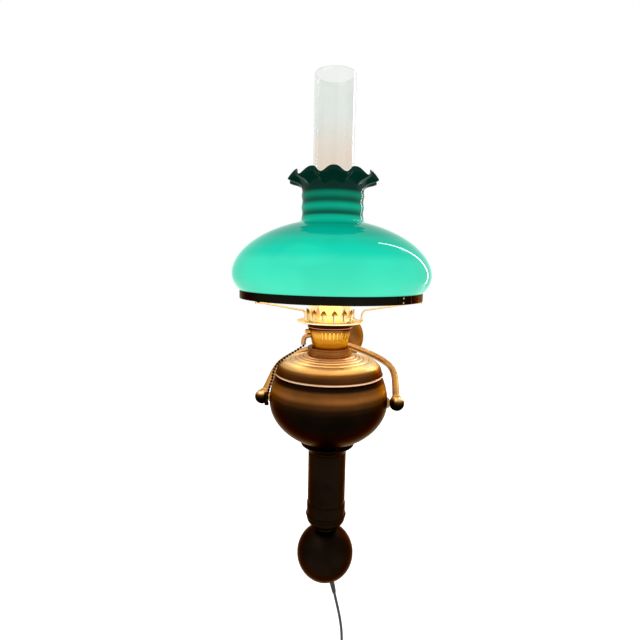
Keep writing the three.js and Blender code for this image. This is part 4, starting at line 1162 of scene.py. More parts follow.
def add_tie():
    """A flat band drawn round the hank's waist, with its end lapped over the front."""
    low, _, centre, half = box_of("hank_tie")
    sheet = 1.4 * MM
    bevel = 2.6 * MM
    x, y = half.x - sheet / 2, half.y - sheet / 2
    corners = [(x - bevel, -y), (x, bevel - y), (x, y - bevel), (x - bevel, y)]
    corners += [(-a, -b) for a, b in corners]
    outline = softened(line(*corners), 2 * MM, 4)
    loop = [Vector((p.x + centre.x, p.y + centre.y, centre.z)) for p in outline]
    form = new_form()
    sweep(form, loop, flat_section(sheet / 2, half.z), closed=True)
    tail = [Vector((a * MM, low.y - sheet / 2, centre.z)) for a in (-9, -3, 3, 9)]
    sweep(form, tail, flat_section(sheet / 2, half.z * 0.8))
    return add_piece("hank_band", form, "lamp", "rubber", "hank_tie")


def add_plug():
    """A moulded two-blade plug with a ribbed grip and a ringed neck."""
    low, high, centre, half = box_of("plug_body")
    shoulder = low.z + 26 * MM
    levels = [(low.z, 0.9, 0.88), (low.z + 1 * MM, 0.97, 0.96), (low.z + 3 * MM, 1, 1)]
    levels += [(low.z + 11 * MM, 0.93, 0.95), (low.z + 19 * MM, 0.97, 0.97)]
    levels += [(shoulder - 3 * MM, 0.9, 0.9), (shoulder - 0.6 * MM, 0.62, 0.68)]
    levels += [(shoulder + 0.6 * MM, 0.36, 0.5)]
    sections = [(z, half.x * a, half.y * b, 4.5) for z, a, b in levels]
    rings = 4
    for ring in range(rings):
        foot = shoulder + 2 * MM + (high.z - shoulder - 2 * MM) * ring / rings
        for rise, radius in ((0, 3.5), (0.4, 4.2), (2.2, 4.2), (2.6, 3.5)):
            size = (radius - 0.35 * ring) * MM
            sections.append((foot + rise * MM, size, size, 2))
    sections.append((high.z, 2.7 * MM, 2.7 * MM, 2))
    form = new_form()
    rows = []
    for z, x, y, power in sections:
        row = flat_section(x, y, power, 48)
        rows.append([add_corner(form, (centre.x + p.x, centre.y + p.y, z)) for p in row])
    cap_ends(form, rows)
    join_rings(form, rows, closed=False)
    rib = round_section(0.75 * MM, 10)
    for place in range(5):
        height = low.z + (7 + 2.4 * place) * MM
        for side in (-1, 1):
            face = centre.y + side * (half.y * 0.95)
            route = [Vector((centre.x + a * MM, face, height)) for a in (-7, -6, 0, 6, 7)]
            sweep(form, route, rib)
    plug = add_piece("plug_moulding", form, "lamp", "rubber", "plug_body")
    return [plug, add_blade("left"), add_blade("right")]


def add_blade(side):
    """A flat blade with a round hole and a rounded end."""
    node = f"plug_blade_{side}"
    low, high, centre, half = box_of(node)
    corner = 1.6 * MM
    edge = circle_arc(point(corner - half.y, low.z + corner), corner, 180, 270, 3)
    edge += circle_arc(point(half.y - corner, low.z + corner), corner, 270, 360, 3)
    edge += line((half.y, high.z), (-half.y, high.z))
    middle_point = point(0, low.z + 4.6 * MM)
    ways = round_section(1.6 * MM)
    hole = [middle_point + way for way in ways]
    rim = [ray_to_edge(middle_point, way.normalized(), edge) for way in ways]
    form = new_form()
    rings = []
    for out, outline in ((-half.x, hole), (-half.x, rim), (half.x, rim), (half.x, hole)):
        rings.append([add_corner(form, (centre.x + out, centre.y + p.x, p.y)) for p in outline])
    join_rings(form, rings)
    return add_piece(f"contact_blade_{side}", form, "lamp", "blade", node, bevel=0.2 * MM)


def ray_to_edge(start, way, edge):
    """Where a ray from inside a closed outline meets it."""
    for a, b in zip(edge, edge[1:] + edge[:1]):
        side = b - a
        cross = way.x * side.y - way.y * side.x
        if abs(cross) < 1e-12:
            continue
        gap = a - start
        along = (gap.x * side.y - gap.y * side.x) / cross
        share = (gap.x * way.y - gap.y * way.x) / cross
        if along > 0 and -1e-6 <= share <= 1 + 1e-6:
            return start + way * along
    raise ValueError("the ray meets no edge")


# The glass


def shade_side(sizes):
    """The shade's outer side, from its foot to its mouth, before the mouth is ruffled."""
    equator, foot, _ = span("shade")
    ring_radius, ring_foot, ring_top = span("shade_ring")
    foot_radius = ring_radius - 2 * MM
    equator_height = ring_foot + 30.9 * MM
    lower_half, upper_half, upper_power = 54 * MM, 70.5 * MM, 1.88
    lift = equator_height - ring_top - 0.3 * MM
    neck = sizes.neck_radius
    dome_rise = reach_at(neck, equator, upper_half, upper_power)
    side = line((foot_radius, foot + 1 * MM), (foot_radius, equator_height - lift - 1 * MM))
    lower = rounded_arc(equator, lower_half, 2, lift, 10)
    upper = rounded_arc(equator, upper_half, upper_power, dome_rise - 1.5 * MM, 26)
    side += shifted(mirrored_down(lower) + upper[1:], 0, equator_height)
    neck_foot = equator_height + dome_rise
    pitch = 14.6 * MM
    first_ring = neck_foot + 3.2 * MM
    rise = 36.5 * MM
    steps = 30
    for step in range(1, steps + 1):
        height = neck_foot + rise * step / steps
        swell = 0.5 + 0.5 * math.cos(FULL_TURN * (height - first_ring) / pitch)
        side.append(point(neck + sizes.neck_swell * swell, height))
    start = side[-1]
    flare = bend(start, start + point(0.5, 9.5) * MM, start + point(9, 13) * MM, 6)
    edge = point(55.4 * MM, neck_foot + 55 * MM)
    rim = bend(flare[-1], flare[-1] + point(6.5, 2.6) * MM, edge, 6)
    return side + flare[1:] + rim[1:], neck_foot + rise


LOBE_TURN = math.radians(5.3)
BROAD_LOBES = 0.2  # makes the lobes broader than the notches between them


def ruffle(form, sizes, foot, top):
    """Raises and lowers the mouth in lobes, more and more from the neck to the rim."""
    centre = LAMP.translation
    for vertex in form.verts:
        share = min(max((vertex.co.z - foot) / (top - foot), 0), 1)
        if share > 0:
            across = vertex.co - centre
            turn = (math.atan2(across.x, -across.y) - LOBE_TURN) * sizes.lobe_count
            wave = (math.cos(turn) - BROAD_LOBES * math.cos(2 * turn)) * share**2
            radius = math.hypot(across.x, across.y)
            pulled = 1 - sizes.lobe_pull * wave / radius
            vertex.co.x = centre.x + across.x * pulled
            vertex.co.y = centre.y + across.y * pulled
            vertex.co.z += sizes.lobe_lift * wave


def add_shade(sizes):
    outer, flare_foot = shade_side(sizes)
    form = new_form()
    spin(form, sheet_outline(outer, sizes.shade_wall), WIDEST)
    ruffle(form, sizes, flare_foot, outer[-1].y)
    shade = add_piece("glass_shade", form, "shade", "green", "shade")
    shade.data.materials.append(finish_material("opal"))
    for face in shade.data.polygons:
        out = face.center - LAMP.translation
        if face.normal.x * out.x + face.normal.y * out.y < 0:
            face.material_index = 1


def add_chimney(sizes):
    foot_radius, foot, top = span("chimney")
    tube_radius = 25.9 * MM
    shoulder = foot + 33 * MM
    taper = 14 * MM
    half_way = point((foot_radius + tube_radius) / 2, shoulder + taper / 2)
    outer = near(foot_radius, foot, (0, 1), (0, 20))
    outer += bend(*near(foot_radius, shoulder, (0, -5), (0, 1)), half_way, 8)
    outer += bend(half_way, *near(tube_radius, shoulder + taper, (0, -1), (0, 6)), 8)[1:]
    bend_top = outer[-1].y
    for share in (0.25, 0.5, 0.75, 0.97):
        outer.append(point(tube_radius, bend_top + (top - bend_top) * share))
    outer.append(point(tube_radius, top - 1 * MM))
    glass = sheet_outline(outer, sizes.chimney_wall)
    add_turned("glass_chimney", "chimney", "clear", glass, BROAD, body="chimney")


def add_bulb():
    """A tubular bulb with a rounded end."""
    radius, foot, top = span("bulb_glass")
    neck = 12.4 * MM
    shoulder = foot + 22 * MM
    side = [point(0, foot), *near(neck, foot, (-1, 0), (0, 2))]
    side += bend(side[-1], point(neck + 1 * MM, shoulder - 8 * MM), point(radius, shoulder), 8)[1:]
    side += shifted(round_end(radius, radius * 0.98, 14), 0, top - radius)
    add_turned("bulb_envelope", "bulb_glass", "bulb", side, SMALL)


def around(turn, radius, height):
    """A place out from the lamp's axis, at a turn in degrees from the front."""
    out = Matrix.Rotation(math.radians(turn), 4, "Z") @ Matrix.Translation((0, -radius, height))
    return LAMP @ out


# The shade's carrier


def add_shade_ring():
    """The ring with its lap joint, and the lap's rivets."""
    radius, foot, top = span("shade_ring")
    sheet = 1.4 * MM
    ledge = radius - 5.4 * MM
    outline = line((ledge, foot), (radius, foot), (radius, top), (radius - sheet, top))
    outline += line((radius - sheet, foot + sheet), (ledge, foot + sheet))
    form = new_form()
    spin(form, softened(outline, 0.5 * MM), WIDEST)
    lap_turn = 48.5
    lap = []
    for degrees in range(13):
        out = outward(math.radians(lap_turn - 4 + degrees)) * (radius + 0.25 * MM)
        lap.append(LAMP @ (out + UP * ((foot + top) / 2)))
    sweep(form, lap, flat_section(0.4 * MM, (top - foot) / 2 - 0.3 * MM, 8))
    add_piece("carrier_ring", form, "lamp", "ring", "shade_ring")
    form = new_form()
    head = [point(0, 0), *round_end(1.2 * MM, 0.6 * MM, 5)]
    for height in (foot + 2.4 * MM, top - 2.4 * MM):
        spin(form, head, 16, around(lap_turn, radius + 0.6 * MM, height) @ FROM_WALL)
    add_piece("ring_rivets", form, "lamp", "yoke")


def add_shade_arm(number, turn):
    """A strip from under the ring, sloping in and bent down onto the gallery's flange."""
    node = f"shade_arm_{number}"
    ring_radius = span("shade_ring")[0]
    low, high = BOXES[node]
    sheet, width = 2.2 * MM, 4.4 * MM
    top = high.z - sheet / 2
    knee = top - 11.3 * MM
    foot = span("burner_gallery")[0] - 1.4 * MM
    round_knee = 9.5 * MM
    flat = near(ring_radius, top, (-0.4, 0))
    flat += bend(*near(ring_radius, top, (-5.4, 0), (-7, -0.1), (-12, -0.8)), 4)
    flat += bend(*line((foot + round_knee, knee), (foot, knee), (foot, knee - round_knee)), 10)
    flat.append(point(foot, low.z + 0.2 * MM))
    turned = Matrix.Rotation(math.radians(turn), 4, "Z")
    route = [LAMP @ turned @ Vector((0, -p.x, p.y)) for p in flat]
    form = new_form()
    sweep(form, route, flat_section(sheet / 2, width / 2, 3), turned @ Vector((1, 0, 0)))
    rivet = [point(0, 0), *round_end(2.6 * MM, 1.1 * MM, 5, power=3)]
    spin(form, rivet, 20, around(turn, foot, low.z))
    add_piece(f"carrier_arm_{number}", form, "lamp", "strip", node)


# The burner


def add_gallery_dish():
    """The flange with its bead. Gives the heights of its top and of the crown's tips."""
    radius, foot, tip = span("burner_gallery")
    top = foot + 10.8 * MM
    dish_foot = span("burner_basket")[0]
    under = top - 1.6 * MM
    outer = [point(24 * MM, foot), *near(dish_foot, foot, (0, 0), (0.2, 1.2))]
    outer += circle_arc(point(dish_foot + 0.2 * MM, foot + 2.6 * MM), 1.1 * MM, -70, 70, 6)
    start, corner = near(dish_foot, foot, (0.3, 4)) + near(dish_foot, under, (2, -2.4))
    outer += bend(start, corner, point(39.5 * MM, under - 1 * MM), 6)
    outer.append(point(radius - 1.2 * MM, under))
    outer += circle_arc(point(radius - 0.8 * MM, top - 0.8 * MM), 0.8 * MM, -90, 90, 6)
    outer += near(0, top, (34, 0), (30, 0), (26.6, -0.4)) + near(0, foot, (25.4, 3), (24, 1.6))
    add_turned("gallery_dish", "burner_gallery", "gallery", outer, BROAD)
    return top, tip


def crown_outline(height):
    """One point of the crown, flat: a stem, and an arrowhead with drooping barbs."""
    stem, head = 1.6 * MM, 4.8 * MM
    neck = height - 6 * MM
    half = near(stem, 0, (1.6, 0), (0.5, 1.2), (0, 3)) + near(stem, neck, (0, -0.3))
    half += near(head, neck, (-0.4, -1.2), (0, -0.7))
    half += line((head * 0.8, neck + 1.4 * MM), (head * 0.45, neck + 4 * MM))
    return half + [point(0, height)] + [point(-p.x, p.y) for p in reversed(half)]


def flat_prong(height):
    """One point of the crown as a flat mesh, cut into strips so that it can be bent."""
    flat = bmesh.new()
    flat.faces.new([flat.verts.new((p.x, p.y, 0)) for p in crown_outline(height)])
    for cut_at in (-3.2, -1.6, 0, 1.6, 3.2):
        geometry = [*flat.verts, *flat.edges, *flat.faces]
        plane = (cut_at * MM, 0, 0)
        bmesh.ops.bisect_plane(flat, geom=geometry, plane_co=plane, plane_no=(1, 0, 0))
    flat.verts.index_update()
    return flat


def add_crown(sizes, top, tip):
    """Pointed prongs in a ring, which hold the chimney's foot."""
    radius = 31.4 * MM
    sheet = 1.2 * MM
    flange = top - 0.6 * MM
    flat = flat_prong(tip - flange)
    form = new_form()
    for number in range(sizes.crown_points):
        turn = FULL_TURN * (number - 0.4) / sizes.crown_points
        layers = []
        for out in (radius, radius - sheet):
            layer = []
            for corner in flat.verts:
                across = outward(turn + corner.co.x / radius) * out
                layer.append(add_corner(form, LAMP @ (across + UP * (corner.co.y + flange))))
            for face in flat.faces:
                form.faces.new([layer[corner.index] for corner in face.verts])
            layers.append(layer)
        front, back = layers
        for edge in flat.edges:
            if edge.is_boundary:
                a, b = (corner.index for corner in edge.verts)
                form.faces.new((front[a], front[b], back[b], back[a]))
    flat.free()
    add_piece("crown", form, "lamp", "gallery", bevel=0.2 * MM)


def basket_radius(height, foot, top):
    """The basket's outer radius at a height: a straight neck, then a cone."""
    neck, brim = 22.8 * MM, span("burner_basket")[0]
    neck_top = foot + BASKET_NECK
    cone_top = top - 1 * MM
    if height <= neck_top:
        return neck
    share = min((height - neck_top) / (cone_top - neck_top), 1)
    return neck + (brim - 1 * MM - neck) * share


def add_basket(sizes):
    """The burner's slotted cone, one cell for each slot place, plain beside the switch."""
    _, foot, top = span("burner_basket")
    sheet = sizes.sheet
    slot_top = top - 1.6 * MM
    slot_foot = slot_top - 10 * MM
    plain_cells = 7
    form = new_form()

    def on_cone(flat, inward):
        radius = basket_radius(flat.y, foot, top) - inward
        return add_corner(form, LAMP @ (outward(flat.x) * radius + UP * flat.y))

    half_height = (slot_top - slot_foot) / 2
    height = (slot_top + slot_foot) / 2
    half_slot = sizes.slot_width / 2 / basket_radius(height, foot, top)
    half_cell = math.pi / sizes.slot_places
    cell_half_height = half_height + 0.8 * MM
    for place in range(sizes.slot_places):
        turn = FULL_TURN * (place - 1.5) / sizes.slot_places
        hole, edge = slot_cell(turn, height, half_slot, half_height, half_cell, cell_half_height)
        layers = []
        for inward in (0, sheet):
            outer = [on_cone(p, inward) for p in edge]
            inner = [on_cone(p, inward) for p in hole]
            layers.append(inner)
            join_rings(form, [outer, inner], closed=False)
        if place < sizes.slot_places - plain_cells:
            join_rings(form, layers, closed=False)
        else:
            for inner in layers:
                form.faces.new(inner)
    for low, high in ((foot, height - cell_half_height), (height + cell_half_height, top)):
        spin(form, basket_profile(low, high, sheet), sizes.slot_places * 4)
    add_piece("burner_cone", form, "lamp", "basket", "burner_basket")


def slot_cell(turn, height, half_slot, half_height, half_cell, cell_half_height):
    """A slot and the edge of the cell round it, flat, with as many points each."""
    hole = []
    edge = []
    round_end_height = 0.95 * MM
    straight = half_height - round_end_height
    steps = 24
    for step in range(steps):
        angle = FULL_TURN * (step + 0.5) / steps
        x, y = math.cos(angle), math.sin(angle)
        across = half_slot * math.copysign(min(1, abs(x) * 1.25), x)
        up = straight * math.copysign(1, y) * min(1, abs(y) * 4) + round_end_height * y
        hole.append(point(turn + across, height + up))
        largest = max(abs(x), abs(y))
        edge.append(point(turn + half_cell * x / largest, height + cell_half_height * y / largest))
    return hole, edge


def basket_profile(low, high, sheet):
    """The plain part of the basket below or above its slots, with a small bead on its neck."""
    radius, foot, top = span("burner_basket")
    outer = []
    for step in range(11):
        height = low + (high - low) * step / 10
        from_ridge = abs(height - foot - BASKET_NECK) / (1.6 * MM)
        bead = 0.5 * MM * max(1 - from_ridge, 0)
        outer.append(point(basket_radius(height, foot, top) + bead, height))
    if high == top:
        outer[-1].x = outer[-2].x = radius
    return outer + [point(p.x - sheet, p.y) for p in reversed(outer)]


def add_socket(sizes):
    radius, foot, top = span("lamp_socket")
    outer = [point(7 * MM, foot), *near(radius, foot, (-1, 0), (0, 1))]
    for share, bead in ((0.3, 0), (0.34, 0.4 * MM), (0.38, 0), (0.8, 0)):
        outer.append(point(radius + bead, foot + (top - foot) * share))
    outer.append(point(radius, top - 0.5 * MM))
    add_turned("socket_shell", "lamp_socket", "lit", sheet_outline(outer, sizes.sheet), 72)
    radius, foot, top = span("socket_liner")
    liner = block(13.3 * MM, radius, foot, top)
    add_turned("socket_sleeve", "socket_liner", "porcelain", liner, SMALL, 0.5 * MM)
    _, foot, top = span("socket_stand")
    spool = near(0, foot, (5.3, 0), (21.5, 0), (21.5, 2), (8, 2)) + near(0, top, (8, 0), (5.3, 0))
    add_turned("socket_spool", "socket_stand", "collar", spool, SMALL, 0.4 * MM)


# The switch and its chain


def add_switch_housing():
    """The pull switch's small case in the side of the burner, with its screw."""
    low, high, centre, half = box_of("switch_housing")
    form = new_form()
    shares = (0, 0.08, 0.5, 0.92, 1)
    route = [Vector((low.x + (high.x - low.x) * s, centre.y, centre.z)) for s in shares]

    def section(share):
        grow = 0.9 if share in (0, 1) else 1
        return flat_section(half.y * grow, half.z * grow, 6, 32)

    sweep(form, route, section)
    screw = Matrix.Translation((low.x + 5 * MM, centre.y, low.z)) @ Matrix.Rotation(math.pi, 4, "X")
    spin(form, [point(0, 0), *round_end(1.4 * MM, 0.7 * MM, 4)], 16, screw)
    add_piece("switch_case", form, "lamp", "gilt", "switch_housing")


def add_chain_guide():
    """The bent tube that the chain leaves the burner by, with a flared mouth."""
    low, high = BOXES["chain_guide"]
    radius = (high.y - low.y) / 2
    height = high.z - radius
    out = low.x + radius
    y = middle("chain_guide").y
    bend_size = 9 * MM
    flat = [point(high.x, height)]
    flat += bend(*line((out + bend_size, height), (out, height), (out, height - bend_size)), 10)
    flat += line((out, low.z + 1.2 * MM), (out, low.z))
    route = [Vector((p.x, y, p.y)) for p in flat]
    form = new_form()
    outer, inner = [], []
    across = Vector((0, 1, 0))
    for i, centre in enumerate(route):
        before, after = route[max(i - 1, 0)], route[min(i + 1, len(route) - 1)]
        over = (after - before).normalized().cross(across)
        flare = 1.06 if i >= len(route) - 2 else 1
        for rings, size in ((outer, radius * flare), (inner, 2 * MM)):
            ring = [centre + across * p.x + over * p.y for p in round_section(size, 20)]
            rings.append([add_corner(form, corner) for corner in ring])
    join_rings(form, outer + inner[::-1])
    add_piece("chain_tube", form, "lamp", "yoke", "chain_guide")


def chain_route():
    """The chain's way from the guide's mouth over the fount's side to the bell."""
    guide_low, _ = BOXES["chain_guide"]
    bowl_radius, _, rim = span("fount_bowl")
    rim_height = rim - PIVOT_HEIGHT
    aside = 15 * MM
    clear = 1.9 * MM
    mouth = Vector((guide_low.x + 3.1 * MM, middle("chain_guide").y, guide_low.z - clear))
    ridge_radius = span("fount_top")[0]
    shoulder_radius = ridge_radius - 1.6 * MM
    shoulder_foot = rim_height + 3.5 * MM
    points = [mouth]

    def beside(radius, height):
        """A point in front of the axis, by its distance from the axis and height over the pivots."""
        out = -math.sqrt(radius**2 - aside**2)
        return LAMP @ Vector((out, -aside, height + PIVOT_HEIGHT))

    for turn in (62, 30):
        across = (shoulder_radius - PLATE_RADIUS + clear) * math.cos(math.radians(turn))
        height = (SHOULDER_RISE + clear) * math.sin(math.radians(turn))
        points.append(beside(PLATE_RADIUS + across, shoulder_foot + height))
    points.append(beside(ridge_radius + clear + 0.3 * MM, rim_height + 1.9 * MM))
    for share in (0.78, 0.45):
        height = rim_height * share
        radius = bowl_radius * math.sqrt(1 - (height / UPPER_BOWL) ** 2)
        points.append(beside(radius + clear + 0.3 * MM, height))
    points.append(beside(bowl_radius + 3.2 * MM, 5.2 * MM))
    return points


def add_chain(sizes):
    """Hollow beads on short links, down to a small bell."""
    dense = smooth_route(chain_route(), 0.5 * MM)
    beads = evenly(dense, sizes.bead_pitch)
    form = new_form()
    sweep(form, dense, round_section(0.5 * MM, 10), Vector((0, 1, 0)))
    radius = sizes.bead_radius
    upper = circle_arc(point(0, 0), radius, 4, 84, 8)
    side = mirrored_down(upper) + [point(radius * 0.97, 0)] + upper
    outline = [point(0, side[0].y), *side, point(0, side[-1].y)]
    for bead, following in zip(beads, beads[1:]):
        turn = (following - bead).normalized().to_track_quat("Z", "Y").to_matrix().to_4x4()
        spin(form, outline, 20, Matrix.Translation(bead) @ turn)
    add_piece("bead_chain", form, "pull_chain", "bronze", "pull_chain")
    low, high, centre, half = box_of("chain_bell")
    mouth = half.y
    side = near(0, high.z, (0, 0), (1.1, 0), (1.5, -0.8))
    side += bend(side[-1], point(1.5 * MM, centre.z), point(mouth, low.z + 2 * MM), 8)[1:]
    side += [*near(mouth, low.z, (0, 0.6), (-0.6, 0)), point(0, low.z)]
    place = Matrix.Translation((centre.x, centre.y, 0))
    add_turned("pull_bell", "chain_bell", "bronze", side, 32, body="pull_chain", place=place)


# The fount


def add_fount_bowl(sizes):
    radius, foot, rim = span("fount_bowl")
    depth = PIVOT_HEIGHT - foot
    lower = rounded_arc(radius, 61 * MM, 1.91, depth, 26)
    upper = rounded_arc(radius, UPPER_BOWL, 2, rim - PIVOT_HEIGHT - 0.5 * MM, 10)
    outer = near(0, -depth, (6, 0), (14, 0), (26.4, 0)) + mirrored_down(lower)[1:] + upper[1:]
    bowl = sheet_outline(shifted(outer, 0, PIVOT_HEIGHT), sizes.sheet)
    add_turned("bowl_sheet", "fount_bowl", "bowl", bowl, WIDE)


def add_fount_top():
    """The fount's cover: a beaded rim, a round shoulder, and fine rings on its flat top."""
    ridge_radius, foot, top = span("fount_top")
    bead = 1.6 * MM
    rim = span("fount_bowl")[2]
    ridge_height = rim + 0.3 * MM + bead
    shoulder_radius = ridge_radius - bead
    shoulder_foot = ridge_height + bead
    plate_height = shoulder_foot + SHOULDER_RISE
    collar_radius = span("fount_collar")[0]
    skirt = shoulder_radius - 1.6 * MM
    outer = line((skirt, foot), (skirt, rim + 0.2 * MM))
    outer += circle_arc(point(shoulder_radius, ridge_height), bead, -90, 72, 10)
    shoulder = rounded_arc(shoulder_radius - PLATE_RADIUS, SHOULDER_RISE, 2, SHOULDER_RISE, 16)
    outer += shifted(shoulder, PLATE_RADIUS, shoulder_foot + 0.4 * MM)[1:]
    outer += near(PLATE_RADIUS, plate_height, (-0.3, 0.3), (-0.9, -0.8), (-1.5, 0.2))
    edge = PLATE_RADIUS - 1.8 * MM
    ring = ((1.6, -0.15), (0.5, 0.1), (0.1, -0.4), (-0.4, -0.4), (-0.8, 0.35))
    for share in (0.28, 0.52, 0.74):
        radius = edge - (edge - collar_radius) * share
        outer += near(radius, plate_height + (top - plate_height) * share, *ring)
    outer += near(collar_radius, top, (1, -0.2), (-2, 0)) + near(0, top, (18, 0), (18, -1.2))
    inner = [point(edge, plate_height - 2 * MM), point(shoulder_radius - 3.6 * MM, shoulder_foot)]
    inner.append(point(shoulder_radius - 2.8 * MM, foot))
    add_turned("top_sheet", "fount_top", "top", outer + inner, WIDE)


def add_fount_collar():
    radius, foot, top = span("fount_collar")
    bore = 23.1 * MM
    outline = [point(bore, foot), *near(radius, foot, (0, 0), (0, 1.6), (-0.7, 2.2))]
    outline += [*near(radius, top, (-0.7, -2), (0, -1.6), (-0.6, 0)), point(bore, top)]
    add_turned("collar", "fount_collar", "collar", outline, BROAD, 0.4 * MM)


def add_fount_bosses():
    """The bushes that take the pivot pins."""
    bowl_side = span("fount_bowl")[0]
    for side, way in (("left", -1), ("right", 1)):
        node = f"fount_boss_{side}"
        inner_end, outer_end = sorted(abs(corner.x) for corner in BOXES[node])
        outline = near(0, inner_end, (3.4, 0), (6.2, 0))
        outline += near(0, bowl_side, (6.2, -0.4), (7.4, -0.2), (7.4, 0.5), (6.2, 1))
        outline += near(0, outer_end, (6.2, 0), (3.4, 0))
        place = Matrix.Translation((0, LAMP.translation.y, PIVOT_HEIGHT))
        place = place @ Matrix.Rotation(way * math.pi / 2, 4, "Y")
        add_turned(f"pivot_bush_{side}", node, "yoke", outline, 40, 0.3 * MM, place=place)


# The stem and the ball


def add_stem(sizes):
    hole = ROD_HOLE
    radius, foot, top = span("stem_cup")
    tube_radius, tube_foot, tube_top = span("stem_tube")
    cup = [point(hole, foot), *near(tube_radius, foot, (0, 0), (0.6, 1))]
    rim = point(radius - 1 * MM, top - 2.4 * MM)
    cup += bend(cup[-1], point(tube_radius + 2 * MM, foot + 7 * MM), rim, 6)[1:]
    cup += circle_arc(point(radius - 0.9 * MM, top - 1.2 * MM), 0.9 * MM, -60, 90, 6)
    cup += [point(radius - 2.2 * MM, top - 0.6 * MM), point(tube_radius, foot + 1.8 * MM)]
    cup += [point(14 * MM, foot + 1.6 * MM), point(14 * MM, top), point(hole, top)]
    add_turned("foot_cup", "stem_cup", "bronze", cup, SLIM)

    side = near(tube_radius, tube_foot, (0, 0.5))
    for share in (0.1, 0.3, 0.5, 0.7, 0.9):
        side.append(point(tube_radius, tube_foot + (tube_top - tube_foot) * share))
    side += near(tube_radius, tube_top, (0, -0.5))
    add_turned("stem_pipe", "stem_tube", "bronze", sheet_outline(side, sizes.sheet), SLIM)

    bead = 1.3 * MM
    bead_radius, foot, top = span("stem_sleeve")
    sleeve = bead_radius - bead
    outer = near(sleeve, foot, (0, 0), (0, 1))
    outer += circle_arc(point(sleeve, foot + 2.6 * MM), bead, -90, 90, 8)
    outer += near(sleeve, foot, (0, 4.8), (0, 12)) + near(sleeve, top, (0, -1.4), (-0.7, 0))
    inner = tube_radius - 1.2 * MM
    outer += line((inner, top), (inner, foot))
    add_turned("stem_ferrule", "stem_sleeve", "bronze", outer, SLIM)

    wide, foot, top = span("stem_end")
    neck, height = 13.6 * MM, 13 * MM
    bowl = rounded_arc(wide - neck, height, 2, height, 14)
    outline = [point(hole, foot)]
    outline += near(neck, foot, (0, 0), (0.3, 0.6), (-1.2, 1.6), (-1.2, 4.4))
    outline += [*shifted(mirrored_down(bowl), neck, top - 0.1 * MM), point(hole, top)]
    add_turned("stem_bowl", "stem_end", "bronze", outline, SLIM)

    _, foot, top = span("stem_spacer")
    spacer = block(hole, 26.8 * MM, foot, top)
    add_turned("foot_washer", "stem_spacer", "bronze", spacer, SLIM, 0.3 * MM)


def add_ball():
    """The counterweight's shell, with the faint seam of its two halves."""
    radius, foot, top = span("ball_shell")
    centre = foot + radius
    flat = top - centre
    seam = point(radius - 0.25 * MM, 0)
    outer = mirrored_down(round_end(radius, radius, 24))[:-1] + [seam]
    outer += rounded_arc(radius, radius, 2, flat, 20)[1:]
    sheet = 1.6 * MM
    within = radius - sheet
    inner = mirrored_down(round_end(within, within, 12))
    inner += rounded_arc(within, within, 2, flat - sheet, 10)[1:]
    hole = line((ROD_HOLE, flat), (ROD_HOLE, flat - sheet))
    add_turned("ball", "ball_shell", "bronze", shifted(outer + hole + inner[::-1], 0, centre), SLIM)


def add_bushing():
    """A tapered sleeve with rings, where the cord leaves the ball."""
    centre, way, radius = cord_exit()
    place = Matrix.Translation(centre) @ UP.rotation_difference(way).to_matrix().to_4x4()
    bore = 2.2 * MM
    start = radius - 4.6 * MM
    outline = [point(bore, start), *near(0, start, (5.8, 0), (5.8, 1.5), (4.2, 1.6))]
    outline += near(0, radius, (4.2, -0.2), (4.9, 0.3), (4.9, 1.3), (3.9, 2.2))
    for ring in range(5):
        size = (3.8 - 0.2 * ring) * MM
        along = radius + (3 + 4.2 * ring) * MM
        outline += near(size, along, (0, 0), (0, 2.8), (-0.5, 3.2), (-0.5, 4))
    outline += [point(2.5 * MM, radius + 24.6 * MM), point(bore, radius + 25 * MM)]
    outline = softened(outline, 0.25 * MM, 2)
    add_turned("cord_sleeve", "cord_bushing", "rubber", outline, 32, place=place)


# The yoke


def arm_curve(side, share):
    """A point of the yoke arm's centre line, from the pivot to the hub."""
    pivot = Vector((side * 90.9 * MM, LAMP.translation.y, PIVOT_HEIGHT))
    hub = middle("yoke_hub")
    corner = Vector((side * 108.6 * MM, hub.y, -34.3 * MM))
    back = pivot + Vector((0, 120.2, 22.2)) * MM
    rest = 1 - share
    first = pivot * rest**3 + back * 3 * rest**2 * share
    return first + corner * 3 * rest * share**2 + hub * share**3


def add_yoke(sizes):
    radius, start, end = wall_span("yoke_hub")
    bore = 4.4 * MM
    outline = [point(bore, start), *near(radius, start, (-1.6, 0), (0, 1.6))]
    outline += [*near(radius, end, (0, -1.6), (-1.6, 0)), point(bore, end)]
    add_turned("hub", "yoke_hub", "yoke", outline, 72, 0.8 * MM, "yoke", FROM_WALL)
    for name, side in (("left", -1), ("right", 1)):
        add_yoke_arm(sizes, name, side)
        add_pivot_ball(name, side)


def add_yoke_arm(sizes, name, side):
    start, end = 0.02, 0.957
    steps = 60
    route = [arm_curve(side, start + (end - start) * step / steps) for step in range(steps + 1)]
    form = new_form()
    sweep(form, route, round_section(sizes.arm_radius, 28))
    add_piece(f"bent_arm_{name}", form, "yoke", "yoke", f"yoke_arm_{name}")


